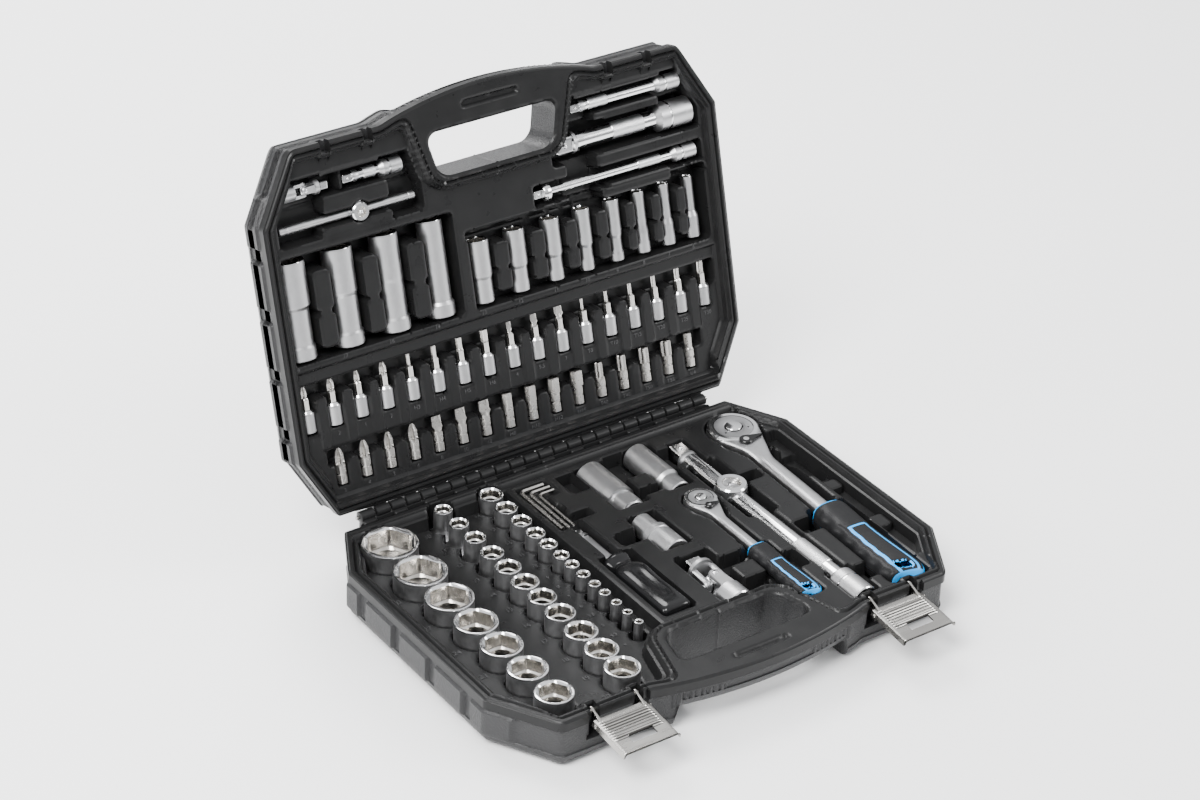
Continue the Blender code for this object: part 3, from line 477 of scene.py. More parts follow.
@dataclass(frozen=True)
class Finish:
    """One finish: two close colours in a soft pattern, a roughness range and a fine bump.

    Fields give colours as linear red, green and blue, sizes of the patterns as counts per metre, the bump's
    depth in metres, and how far the grain is drawn out along each axis.
    """

    name: str
    colour: Point
    second: Point
    roughness: tuple[float, float]
    metallic: float = 0.0
    patch: float = 90.0
    grain: float = 1600.0
    bump: float = 0.2
    depth: float = 0.00008
    drawn: Point = (1.0, 1.0, 1.0)
    coat: float = 0.0
    specular: float = 0.5

    def material(self) -> bpy.types.Material:
        """The finish as a node material on Object coordinates, made when first asked for.

        Returns:
            The material.
        """
        found = bpy.data.materials.get(self.name)
        if found is not None:
            return found
        made = bpy.data.materials.new(self.name)
        made.use_nodes = True
        tree, links = made.node_tree, made.node_tree.links
        shader = tree.nodes["Principled BSDF"]
        shader.inputs["Metallic"].default_value = self.metallic
        shader.inputs["Specular IOR Level"].default_value = self.specular
        shader.inputs["Coat Weight"].default_value = self.coat
        shader.inputs["Coat Roughness"].default_value = 0.15
        where = shader_node(tree, "ShaderNodeTexCoord").outputs["Object"]
        stretch = shader_node(tree, "ShaderNodeMapping", where, Scale=self.drawn).outputs["Vector"]
        patches = shader_node(tree, "ShaderNodeTexNoise", stretch, Scale=self.patch, Detail=3.0).outputs["Fac"]
        mix = tree.nodes.new("ShaderNodeMix")
        mix.data_type = "RGBA"
        mix.inputs["A"].default_value = (*self.colour, 1)
        mix.inputs["B"].default_value = (*self.second, 1)
        links.new(patches, mix.inputs["Factor"])
        links.new(mix.outputs["Result"], shader.inputs["Base Color"])
        spread = shader_node(tree, "ShaderNodeMapRange", patches, "Value", From_Min=0.3, From_Max=0.7,
                             To_Min=self.roughness[0], To_Max=self.roughness[1])
        links.new(spread.outputs["Result"], shader.inputs["Roughness"])
        grain = shader_node(tree, "ShaderNodeTexNoise", stretch, Scale=self.grain, Detail=2.0).outputs["Fac"]
        bump = shader_node(tree, "ShaderNodeBump", grain, "Height", Strength=self.bump, Distance=self.depth)
        links.new(bump.outputs["Normal"], shader.inputs["Normal"])
        return made


CASE_PLASTIC = Finish("case_plastic_charcoal", (0.0075, 0.0075, 0.0078), (0.011, 0.011, 0.011), (0.26, 0.37),
                      patch=60.0, grain=1500.0, bump=0.3, depth=0.0001, specular=0.2)
CASE_GRAINED = Finish("case_plastic_grained", (0.012, 0.012, 0.0125), (0.026, 0.026, 0.027), (0.34, 0.48),
                      patch=500.0, grain=850.0, bump=1.0, depth=0.0005, specular=0.35)
CASE_MARKS = Finish("case_plastic_raised_marks", (0.03, 0.03, 0.031), (0.045, 0.045, 0.046), (0.2, 0.3),
                    patch=200.0, grain=1800.0, bump=0.2)
SATIN_CHROME = Finish("finish_satin_chrome", (0.42, 0.42, 0.425), (0.5, 0.5, 0.505), (0.34, 0.42), 1.0,
                      patch=260.0, grain=4200.0, bump=0.18, depth=0.00004)
BRIGHT_CHROME = Finish("polished_chrome", (0.72, 0.72, 0.725), (0.8, 0.8, 0.8), (0.1, 0.17), 1.0,
                       patch=150.0, grain=900.0, bump=0.05, depth=0.00003)
BORE_CHROME = Finish("bore_chrome", (0.6, 0.58, 0.55), (0.7, 0.685, 0.66), (0.18, 0.28), 1.0,
                     patch=220.0, grain=1200.0, bump=0.03, depth=0.00004, drawn=(1.0, 1.0, 0.3))
BIT_STEEL = Finish("bit_steel", (0.42, 0.405, 0.385), (0.52, 0.505, 0.48), (0.24, 0.36), 1.0,
                   patch=400.0, grain=3000.0, bump=0.2, depth=0.00004)
KNURLED = Finish("knurled_chrome", (0.55, 0.56, 0.57), (0.75, 0.75, 0.75), (0.3, 0.45), 1.0,
                 patch=1500.0, grain=1400.0, bump=0.9, depth=0.00025)
ZINC_PLATE = Finish("finish_zinc_plate", (0.34, 0.33, 0.31), (0.46, 0.45, 0.43), (0.2, 0.32), 1.0,
                    patch=120.0, grain=2500.0, bump=0.2, depth=0.00005, drawn=(0.2, 1.0, 1.0))
# ZINC_SHADOW is painted shade: a dark zinc colour laid into the latch plate's rib valleys.
ZINC_SHADOW = Finish("zinc_plate_painted_groove_shade", (0.06, 0.058, 0.055), (0.09, 0.088, 0.083), (0.35, 0.45), 1.0,
                     patch=120.0, grain=2500.0, bump=0.1, depth=0.00005)
GRIP_RUBBER = Finish("finish_grip_rubber", (0.007, 0.0071, 0.0075), (0.013, 0.0131, 0.014), (0.34, 0.48),
                     patch=110.0, grain=2200.0, bump=0.4, depth=0.00012, specular=0.16)
BLUE_ACCENT = Finish("finish_blue_accent", (0.0, 0.30, 0.78), (0.0, 0.36, 0.88), (0.34, 0.44),
                     patch=120.0, grain=2200.0, bump=0.2)
# Black plastic for the spinner grip and the ratchet levers, also laid as painted shade in the ratchet heads' grooves
# and screw holes.
BLACK_PLASTIC_AND_SHADE = Finish("finish_black_plastic_and_painted_shade", (0.004, 0.004, 0.0043), (0.007, 0.007, 0.0075), (0.1, 0.18),
                       patch=160.0, grain=2200.0, bump=0.1, specular=0.3)
FLOOR_PAINT = Finish("studio_floor", (0.93, 0.93, 0.93), (0.95, 0.95, 0.95), (0.8, 0.9), patch=2.0, grain=60.0,
                     bump=0.02)


def steels() -> list[bpy.types.Material]:
    """The finishes of a chromed tool: satin, polished, bore."""
    return [SATIN_CHROME.material(), BRIGHT_CHROME.material(), BORE_CHROME.material()]


SATIN, POLISHED, BORE = 0, 1, 2


# ---------------------------------------------------------------- signed distances in plan


def rectangle(x0: float, x1: float, y0: float, y1: float, radius: float = 2.0,
              lean: tuple[float, float, float] | None = None) -> Field:
    """Distance outside a rectangle with round corners, negative inside.

    Args:
        x0: Left edge.
        x1: Right edge.
        y0: Front edge.
        y1: Back edge.
        radius: Corner radius.
        lean: A pivot's x and y and the angle that the rectangle is turned about it.

    Returns:
        The distance field.
    """
    cx, cy, hx, hy = (x0 + x1) / 2, (y0 + y1) / 2, (x1 - x0) / 2, (y1 - y0) / 2
    radius = min(radius, hx, hy)

    def distance(x: Array, y: Array) -> Array:
        """Length of the positive parts of the offsets past the core, less the corner's radius.

        Args:
            x: Places in x.
            y: Places in y.

        Returns:
            The distances.
        """
        if lean:
            c, s = math.cos(-lean[2]), math.sin(-lean[2])
            dx, dy = x - lean[0], y - lean[1]
            x, y = lean[0] + c * dx - s * dy, lean[1] + s * dx + c * dy
        qx, qy = np.abs(x - cx) - hx + radius, np.abs(y - cy) - hy + radius
        return np.hypot(np.maximum(qx, 0), np.maximum(qy, 0)) + np.minimum(np.maximum(qx, qy), 0) - radius

    return distance


def discs(places: Sequence[tuple[float, float, float]]) -> Field:
    """Distance outside the nearest of several discs.

    Args:
        places: x, y and radius of each.

    Returns:
        The distance field.
    """
    table = np.array(places)

    def distance(x: Array, y: Array) -> Array:
        """The least of distance from each centre less its radius.

        Args:
            x: Places in x.
            y: Places in y.

        Returns:
            The distances.
        """
        best = np.full(np.shape(x), 1e3)
        for cx, cy, r in table:
            best = np.minimum(best, np.hypot(x - cx, y - cy) - r)
        return best

    return distance


def union(*fields: Field) -> Field:
    """The least of several distances."""
    return lambda x, y: np.minimum.reduce([f(x, y) for f in fields])


def less(one: Field, other: Field) -> Field:
    """One region without the other."""
    return lambda x, y: np.maximum(one(x, y), -other(x, y))


def smooth_least(a: Array, b: Array, blend: float) -> Array:
    """The lesser of two distances with a round change between them."""
    h = np.clip(0.5 + 0.5 * (b - a) / blend, 0, 1)
    return b + (a - b) * h - blend * h * (1 - h)


# ---------------------------------------------------------------- the case


@dataclass
class Step:
    """One pocket or raised pad of a tray: its plan, its depth, and the round edge at its top."""

    plan: Field
    depth: float
    raised: bool = False
    edge: float = 0.7
    run: float = 1.2
    in_deck: bool = False


@dataclass
class CaseHalf:
    """One half of the case: a double-walled moulding made of a tray surface, an outer surface and a wall.

    Both surfaces are depths over one plan grid whose columns run from the front edge to the back edge, so
    that the grid fills the outline. Grid points near the edge of a pocket are drawn onto it.
    """

    name: str
    node: str
    body: str
    height: float
    lid: bool
    rim: tuple[tuple[float, float], ...]
    recesses: tuple[tuple[float, float, float], ...]
    notch_depth: float
    steps: list[Step] = field(default_factory=list)
    columns: int = 158
    rows: int = 222
    width: float = 400.0
    length: float = 278.0
    bulge: float = 14.0
    bulge_half: float = 94.0
    back_chamfer: tuple[float, float] = (25.0, 47.0)
    front_chamfer: tuple[float, float] = (30.0, 52.0)
    bottom_round: float = 9.0

    def front(self, x: Array) -> Array:
        """The front edge: straight, cut off at the corners, swelling by a cosine over the handle, and averaged over 6
        mm.

        Args:
            x: Places in x.

        Returns:
            y of the edge.
        """
        spread = np.linspace(-3.0, 3.0, 7)
        total = np.zeros(np.shape(x))
        for shift in spread:
            ax = np.abs(x + shift)
            swell = self.bulge * np.cos(np.clip(ax / self.bulge_half, 0, 1) * math.pi / 2) ** 0.8
            corner = np.maximum(ax - self.width / 2 + self.front_chamfer[0], 0)
            total += -self.length / 2 - swell + corner * self.front_chamfer[1] / self.front_chamfer[0]
        return total / len(spread)

    def back(self, x: Array) -> Array:
        """The back edge: straight, cut off at the corners."""
        corner = np.maximum(np.abs(x) - self.width / 2 + self.back_chamfer[0], 0)
        return self.length / 2 - corner * self.back_chamfer[1] / self.back_chamfer[0]

    def recess(self, x: Array) -> Array:
        """How far the front wall stands back at the catches.

        Args:
            x: Places in x.

        Returns:
            The distances.
        """
        back = np.zeros(np.shape(x))
        for low, high, amount in self.recesses:
            inside = (np.abs(x) > low) & (np.abs(x) < high)
            back = np.where(inside, np.maximum(back, amount), back)
        return back

    def inside(self, x: Array, y: Array) -> Array:
        """Distance in from the outline: the least over its edges, each along its own normal.

        Args:
            x: Places in x.
            y: Places in y.

        Returns:
            The distances, negative outside.
        """
        step = 0.5
        tilt_front = (self.front(x + step) - self.front(x - step)) / (2 * step)
        tilt_back = (self.back(x + step) - self.back(x - step)) / (2 * step)
        from_front = (y - self.front(x)) / np.hypot(1, tilt_front)
        from_back = (self.back(x) - y) / np.hypot(1, tilt_back)
        return np.minimum.reduce([self.width / 2 - np.abs(x), from_front, from_back])

    def hole(self, x: Array, y: Array) -> Array:
        """Distance outside the carrying handle's hole: a trapezoid with round corners.

        Args:
            x: Places in x.
            y: Places in y.

        Returns:
            The distances, negative inside the hole.
        """
        round_off = 10.0
        half = 50 + (-89 - y) * 8 / 35
        side = (np.abs(x) - half) * 0.975
        ends = np.abs(y + 106.5) - 17.5
        qx, qy = side + round_off, ends + round_off
        return np.hypot(np.maximum(qx, 0), np.maximum(qy, 0)) + np.minimum(np.maximum(qx, qy), 0) - round_off

    def deck_edge(self, x: Array, y: Array) -> Array:
        """Distance into the deck from the rim's inner edge, which curves behind the handle's hole and round the
        catches.

        Args:
            x: Places in x.
            y: Places in y.

        Returns:
            The distances, negative on the rim.
        """
        side = (np.abs(x) - 58 - np.maximum(-73 - y, -14) * 0.28) * 0.96
        top = y + 79.5
        round_off = 16.0
        qx, qy = side + round_off, top + round_off
        notch = np.hypot(np.maximum(qx, 0), np.maximum(qy, 0)) + np.minimum(np.maximum(qx, qy), 0) - round_off
        deck = smooth_least(self.inside(x, y) - 9, notch, 9.0)
        for low, high, amount in self.recesses:
            if amount < 5:
                continue
            back = amount + 2.0 - self.length / 2
            deck = np.minimum(deck, rectangle(low - 2.0, high + 2.0, -170, back, 3.0)(np.abs(x), y))
        return deck

    def plan(self, step: Step) -> Field:
        """A step's plan, kept inside the rim where the step says so.

        Args:
            step: The step.

        Returns:
            Its distance field.
        """
        if not step.in_deck:
            return step.plan
        return lambda x, y: np.maximum(step.plan(x, y), self.rim[-1][0] + step.run - self.deck_edge(x, y))

    def lines(self, reach: float) -> list[tuple[Field, Array, float]]:
        """Every distance whose level lines the grid is drawn onto.

        Args:
            reach: How near a point has to be.

        Returns:
            Field, levels and reach of each.
        """
        found = [(self.deck_edge, np.array([d for d, _ in self.rim]), reach)]
        for step in self.steps:
            found.append((self.plan(step), np.array([-step.run, 0.0, step.run]), reach))
        found.append((self.hole, np.array([0.0]), reach * 1.4))
        return found

    def drawn(self, x: Array, y: Array, fixed: Array, reach: float) -> tuple[Array, Array]:
        """Moves grid points within reach of a level line onto it, along the distance's slope.

        Args:
            x: Places in x.
            y: Places in y.
            fixed: Which points stay.
            reach: How near a point has to be.

        Returns:
            The moved x and y.
        """
        best = np.ones(x.shape)
        shift_x, shift_y = np.zeros(x.shape), np.zeros(x.shape)
        for plan, levels, near in self.lines(reach):
            d = plan(x, y)
            nearest = levels[np.abs(d[..., None] - levels).argmin(-1)]
            gap = d - nearest
            close = np.abs(gap) < best * near
            cx, cy = x[close], y[close]
            slope_x = plan(cx + 0.05, cy) - plan(cx - 0.05, cy)
            slope_y = plan(cx, cy + 0.05) - plan(cx, cy - 0.05)
            size = np.maximum(np.hypot(slope_x, slope_y), 0.03)
            best[close] = np.abs(gap[close]) / near * (0.0 if plan == self.hole else 1.0)
            shift_x[close] = -gap[close] * slope_x * 0.1 / size ** 2
            shift_y[close] = -gap[close] * slope_y * 0.1 / size ** 2
        return x + shift_x * ~fixed, y + shift_y * ~fixed

    def tray_depth(self, x: Array, y: Array) -> Array:
        """The tray surface: the rim's profile by distance, then each pocket or pad in turn.

        Args:
            x: Places in x.
            y: Places in y.

        Returns:
            Depths from the parting plane.
        """
        levels = np.array(self.rim)
        depth = np.interp(self.deck_edge(x, y), levels[:, 0], levels[:, 1])
        hole = self.hole(x, y)
        depth = depth + 2.2 * np.clip(1 - hole / 2.6, 0, 1) ** 2
        edge = self.inside(x, y)
        depth = depth + 1.2 * np.clip(1 - edge / 1.5, 0, 1) ** 2
        for step in self.steps:
            d = self.plan(step)(x, y)
            near = np.clip(1 - d / step.run, 0, 1)
            deep = np.clip(-d / step.run, 0, 1)
            if step.raised:
                level = step.depth + step.edge * (1 - deep)
                depth = np.where(d < step.run, np.minimum(depth, depth * (1 - near) + level * near), depth)
            else:
                worn = depth + step.edge * near
                depth = np.where(d < step.run, np.maximum(depth, worn * (1 - deep) + step.depth * deep), depth)
        return depth

    def outer_depth(self, x: Array, y: Array) -> Array:
        """The outer surface: flat with a round edge, a sunk panel, and three bars inside it.

        Args:
            x: Places in x.
            y: Places in y.

        Returns:
            Depths from the parting plane.
        """
        edge = np.clip(self.inside(x, y) / self.bottom_round, 0, 1)
        grip = np.clip(-rectangle(-78, 78, -180, -119, 6)(x, y) / 5.0, 0, 1)
        height = self.height - (self.height - 25.0) * grip * grip * (3 - 2 * grip)
        depth = height - self.bottom_round * (1 - np.sqrt(np.clip(1 - (1 - edge) ** 2, 0, 1)))
        hole = self.hole(x, y)
        depth = depth - 3.0 * np.clip(1 - hole / 3.6, 0, 1) ** 2
        panel = rectangle(-158, 158, -58, 112, 14)(x, y)
        depth = depth - 1.5 * np.clip(-panel / 2.5, 0, 1)
        for y0 in (-30.0, 27.0, 84.0):
            bar = rectangle(-130, 130, y0 - 9, y0 + 9, 9)(x, y)
            depth = depth + 1.2 * np.clip(-bar / 2.0, 0, 1)
        return depth

    def wall(self, x: Array, y: Array, depth: float) -> Array:
        """How far the wall stands out of the outline: a band by the parting, then grained pads between gaps, and ribs
        beside the handle.

        Args:
            x: Places in x.
            y: Places in y.
            depth: Depth from the parting plane.

        Returns:
            The distances.
        """
        band = 1.0 - 2.0 * min(max((depth - 8.5) / 1.2, 0.0), 1.0)
        start, end = 9.8, self.height - self.bottom_round + 1.0
        share = min(max((depth - start) / 1.2, 0.0), 1.0) * min(max((end - depth) / 2.0, 0.0), 1.0)
        along = np.abs(np.mod(y - 3.0, 46.0) - 23.0)
        on_side = (np.abs(x) > self.width / 2 - 34) * np.clip((96 - y) / 2, 0, 1) * np.clip((y + 116) / 2, 0, 1)
        pads = np.clip((along - 4.4) / 1.6, 0, 1) * on_side
        ribs = 0.5 + 0.5 * np.cos(x * 2 * math.pi / 4.6)
        ribbed = (np.abs(np.abs(x) - 58) < 21) & (y < 0)
        low = min(max((depth - 9.5) / 1.0, 0.0), 1.0) * min(max((23.0 - depth) / 1.5, 0.0), 1.0)
        return band + 3.4 * share * pads + 1.5 * low * ribs * ribbed

    def level(self, depth: Array | float) -> Array | float:
        """The z of a depth, in the closed case."""
        return LID_PARTING + depth if self.lid else PARTING - depth

    def points(self, x: Array, y: Array, depth: Array) -> Array:
        """Points of this half, turned open with the lid."""
        made = np.stack([x, y, self.level(depth)], -1)
        return opened(made) if self.lid else made

    def side(self, sign: int) -> Shape:
        """The left or right part of this half, as one closed shape: tray 0, grained wall 1, outside 2.

        Args:
            sign: -1 for the left part and 1 for the right.

        Returns:
            The shape.
        """
        edges = [v for low, high, _ in self.recesses for v in (low - 0.1, low + 0.1, high - 0.1, high + 0.1)]
        steps = np.linspace(0, self.width / 2, self.columns)
        columns = np.unique(np.concatenate([steps, edges]))
        columns = columns[np.concatenate([[True], np.diff(columns) > 0.12])]
        if sign < 0:
            columns = -columns[::-1]
        share = np.linspace(0, 1, self.rows)[:, None]
        front, recess = self.front(columns), self.recess(columns)
        y = front + share * (self.back(columns) - front)
        recess = recess * np.clip(1 - (y - front) / 22.0, 0, 1)
        y = y + recess
        x = np.broadcast_to(columns, y.shape).copy()
        fixed = np.zeros(x.shape, bool)
        fixed[[0, -1]] = True
        fixed[:, [0, -1]] = True
        paired = np.min(np.abs(np.abs(columns)[:, None] - np.array(edges)), axis=1) < 0.2
        fixed |= paired & (y - front < 24.0)
        reach = 0.6 * self.width / 2 / self.columns
        x, y = self.drawn(x, y, fixed, reach)
        middle_x = (x[:-1, :-1] + x[1:, 1:] + x[1:, :-1] + x[:-1, 1:]) / 4
        middle_y = (y[:-1, :-1] + y[1:, 1:] + y[1:, :-1] + y[:-1, 1:]) / 4
        keep = self.hole(middle_x, middle_y) > 0
        back_x, back_y = x, y - recess
        outer = self.outer_depth(back_x, back_y)
        shape = Shape()
        shape.grid(self.points(x, y, self.tray_depth(x, y)), 0, keep=keep)
        shape.grid(self.points(back_x, back_y, outer), 2, keep=keep)
        self.close_hole(shape, keep, x.shape)
        self.close_outline(shape, x, y, outer, keep)
        return shape

    def close_hole(self, shape: Shape, keep: Array, size: tuple[int, int]) -> None:
        """Joins the two surfaces round the hole: each face edge used once and off the outline.

        Args:
            shape: The shape with both surfaces.
            keep: Which faces are there.
            size: The grid's size.
        """
        alone = open_edges(size, keep)
        row, column = np.divmod(alone, size[1])
        outline = (row == 0).all(1) | (row == size[0] - 1).all(1)
        outline |= (column == 0).all(1) | (column == size[1] - 1).all(1)
        shape.stitched(alone[~outline], size[0] * size[1], 1)

    def close_outline(self, shape: Shape, x: Array, y: Array, outer: Array, keep: Array) -> None:
        """The wall round the outline: rings of the edge points moved out by the wall's offset at each depth.

        Args:
            shape: The shape to add it to.
            x: Places in x.
            y: Places in y.
            outer: The outer surface's depths.
            keep: Which faces are there.
        """
        rows, columns = x.shape
        loop = [(0, j) for j in range(columns)] + [(i, columns - 1) for i in range(1, rows)]
        loop += [(rows - 1, j) for j in range(columns - 2, -1, -1)] + [(i, 0) for i in range(rows - 2, 0, -1)]
        i, j = np.array(loop).T
        px, py = x[i, j], y[i, j]
        plain_y = py - np.where(i == 0, self.recess(px), 0)
        tx = np.roll(px, -1) - np.roll(px, 1)
        ty = np.roll(plain_y, -1) - np.roll(plain_y, 1)
        size = np.maximum(np.hypot(tx, ty), 1e-6)
        nx, ny = ty / size, -tx / size
        cut = np.abs(px) < 1e-6
        split = cut & (i > 0) & (i < rows - 1)
        nx, ny = np.where(cut, 0, nx), np.where(split, 0, ny)
        ny = np.where(cut & (i == 0), -1, np.where(cut & (i == rows - 1), 1, ny))
        depths = [1.4, 2.2, 5.0, 8.4, 9.2, 10.4, 11.2, 12.4, 14.0, 17.0, 20.0, 21.9, 23.0, self.notch_depth,
                  self.notch_depth + 0.2, 26.0, self.height - self.bottom_round - 2.0,
                  self.height - self.bottom_round - 0.6]
        top = self.tray_depth(px, py)
        rings = [self.points(px, py, top)]
        for depth in depths:
            base_y = py if depth <= self.notch_depth else plain_y
            out = self.wall(px, plain_y, depth)
            out = np.where(np.hypot(nx, ny) > 0, out, 0)
            here = np.minimum(np.maximum(depth, top + 0.2), outer[i, j])
            here = np.where(split, top, here)
            rings.append(self.points(px + nx * out, np.where(split, py, base_y + ny * out), here))
        rings.append(self.points(px, plain_y, outer[i, j]))
        cells = keep[np.minimum(np.minimum(i, np.roll(i, -1)), rows - 2), np.minimum(j, columns - 2)]
        stays = np.broadcast_to(cells | ~(split | np.roll(split, -1)), (len(rings) - 1, len(i)))
        smooth = 4  # stretches of the wall nearest the parting, which have no grain
        marks = [0] * smooth + [1] * (len(rings) - 1 - smooth)
        shape.grid(np.array(rings), marks, wrap_v=True, keep=stays)

    def build(self) -> None:
        """Makes both parts of this half."""
        finishes = [CASE_PLASTIC.material(), CASE_GRAINED.material(), CASE_GRAINED.material()]
        for sign, side in ((-1, "left"), (1, "right")):
            nodes = [self.node] if sign < 0 else []
            make_piece(f"{self.name}_{side}", self.side(sign), finishes, self.body, nodes)


@dataclass(frozen=True)
class OuterColumn:
    """Where the seven largest sockets stand, and the two columns beside them."""

    x: float = -155.0
    sizes: tuple[float, ...] = (32, 30, 27, 24, 23, 22, 21)
    first_y: float = 109.5
    pitch: float = 33.0
    middle_x: float = -98.5
    middle_sizes: tuple[int, ...] = (10, 11, 12, 13, 14, 15, 16, 17, 18, 19, 20)
    middle_y: tuple[float, ...] = (125.0, 103.2, 81.2, 58.2, 36.7, 14.6, -7.7, -30.8, -57.0, -82.4, -108.0)
    middle_rims: tuple[float, ...] = (14.5, 15.4, 16.8, 18.2, 20.0, 21.3, 21.5, 22.7, 25.0, 25.4, 26.7)
    inner_x: float = -55.5
    inner_sizes: tuple[float, ...] = (14, 13, 12, 11, 10, 9, 8, 7, 6, 5.5, 5, 4.5, 4)
    inner_y: tuple[float, ...] = (125.5, 104.3, 84.0, 65.0, 48.0, 31.0, 17.0, 2.5, -12.0, -25.0, -39.5, -53.5, -67.5)
    inner_rims: tuple[float, ...] = (19.1, 17.4, 16.4, 15.3, 14.4, 12.6, 11.5, 10.8, 9.6, 9.0, 8.4, 7.6, 7.0)
    field_depth: float = 14.0

    @staticmethod
    def radius(size: float) -> float:
        """The outer radius of a half inch socket of a size."""
        return (size * 1.3 + 1.5) / 2

    def outer_y(self) -> list[float]:
        """Places down the column: touching circles, or the least pitch where that is more.

        Returns:
            y of each socket.
        """
        places = [self.first_y]
        for before, size in zip(self.sizes, self.sizes[1:]):
            places.append(places[-1] - max(self.radius(before) + self.radius(size) + 0.6, self.pitch))
        return places

    def middle(self) -> list[tuple[float, float, float]]:
        """Centre and greatest radius of each half inch socket of the middle column."""
        return [(self.middle_x, y, max(rim / 2, 11.0)) for y, rim in zip(self.middle_y, self.middle_rims)]

    def inner(self) -> list[tuple[float, float, float]]:
        """Centre and greatest radius of each quarter inch socket of the inner column."""
        return [(self.inner_x, y, max(rim / 2, 5.9)) for y, rim in zip(self.inner_y, self.inner_rims)]


COLUMNS = OuterColumn()
BASE_RIM = ((-5.2, 0.3), (-3.9, 2.1), (-2.6, 0.0), (-1.3, 0.0), (0.0, 1.0), (1.3, 4.0))
LID_RIM = ((-6.5, 0.3), (-5.2, 2.1), (-3.9, 0.0), (-2.6, 0.0), (-1.3, 2.4), (0.0, 2.4), (1.3, 6.0))
BIG_LEAN = (158.0, 105.0, math.radians(-2.1))
SMALL_LEAN = (77.0, 38.0, math.radians(-1))


def base_steps() -> list[Step]:
    """The pockets and pads of the base's tray, in the order that they are cut.

    Returns:
        The steps.
    """
    steps = [Step(rectangle(-191, -41, -130, 138, 12), COLUMNS.field_depth, run=2.0, in_deck=True)]
    outer = [(COLUMNS.x, y, COLUMNS.radius(s) + 0.7) for s, y in zip(COLUMNS.sizes, COLUMNS.outer_y())]
    steps.append(Step(discs(outer), 36.0))
    steps.append(Step(discs([(x, y, r + 0.8) for x, y, r in COLUMNS.middle()]), 36.0))
    steps.append(Step(discs([(x, y, r + 1.0) for x, y, r in COLUMNS.inner()]), 35.0))
    big = [(rectangle(145.5, 170.5, -17, 105, 5, BIG_LEAN), 17.0),
           (rectangle(139.5, 176.5, -125.5, -15, 5, BIG_LEAN), 23.5), (discs([(158, 105, 22.6)]), 20.0)]
    small = [(rectangle(69.2, 84.8, -32, 38, 4, SMALL_LEAN), 11.0),
             (rectangle(65.2, 88.8, -104.5, -30, 4, SMALL_LEAN), 14.0), (discs([(77, 38, 14.6)]), 13.0)]
    big.append((discs([(157.6, 90, 20.5), (157.2, 78, 16.0)]), 19.0))
    small.append((discs([(76.8, 29, 13.2), (76.7, 21, 10.4)]), 12.0))
    bars = [(rectangle(95.7, 121.3, -124.3, -88, 3), 24.5), (rectangle(100.2, 116.8, -92, 116.3, 3), 20.0),
            (rectangle(94.2, 122.8, -1.3, 83.3, 5), 25.0), (rectangle(100.8, 116.2, 5, 77, 3), 34.0)]
    tubes = [(rectangle(17.2, 46.8, 59.7, 123.3, 3), 29.0), (rectangle(64.5, 89.5, 61.7, 125.3, 3), 24.0),
             (rectangle(13.7, 40.3, -2.3, 47.3, 3), 26.0), (rectangle(12.2, 43.8, -80.3, -14.7, 3), 27.0),
             (rectangle(-34.3, -5.7, -70.3, 15.3, 3), 28.0), (rectangle(-26.3, -13.7, 13, 64.3, 3), 19.0)]
    keys = [(rectangle(-35.3, -7.7, 103.7, 124.3, 2), 8.5), (rectangle(-35.3, -17.7, 59.7, 121.3, 2), 8.5),
            (rectangle(-35, -16, 80, 92, 4), 16.0)]
    channels = [(rectangle(0, 17, 96, 122, 3), 14.0), (rectangle(46, 66, 66, 76, 3), 15.0),
                (rectangle(46, 66, 92, 126, 3), 16.0), (rectangle(86, 104, 88, 112, 3), 15.0),
                (rectangle(118, 142, -40, -22, 4), 16.0), (rectangle(118, 140, 40, 52, 4), 15.0),
                (rectangle(84, 98, -72, -50, 4), 15.0), (rectangle(40, 68, -88, -62, 4), 17.0),
                (rectangle(38, 70, -44, -30, 3), 16.0), (rectangle(168, 187, 20, 62, 4), 18.0),
                (rectangle(172, 188, -104, 88, 3), 13.0), (rectangle(116, 142, -110, -92, 4), 15.0),
                (rectangle(-8, 16, 18, 34, 4), 17.0), (rectangle(-30, 0, 66, 76, 3), 12.0)]
    steps += [Step(plan, depth, in_deck=True) for plan, depth in channels]
    steps += [Step(plan, depth) for plan, depth in [*big, *small, *bars, *tubes, *keys]]
    for y0, y1 in ((-60, -44), (0, 12)):
        steps.append(Step(rectangle(172, 186, y0, y1, 3), 7.0, True, in_deck=True))
    steps.append(Step(rectangle(-24, 24, -141.4, -137.2, 2.1), 2.4, run=1.1))
    return steps


LONG_X = ((19, -178.0), (17, -137.0), (16, -97.0), (14, -57.0))
QUARTER_X = (-20.5, 12.5, 45.0, 74.0, 102.0, 127.0, 151.0, 174.5)
QUARTER_SIZES = (13, 12, 11, 10, 9, 8, 7, 6)
BIT_SOCKET_X = tuple(-183.6 + 22.5 * i for i in range(17))
LOOSE_BIT_X = tuple(-163.6 + 21.3 * i for i in range(16))


def between(places: Sequence[float]) -> list[float]:
    """The middles between neighbours."""
    return [(a + b) / 2 for a, b in zip(places, places[1:])]


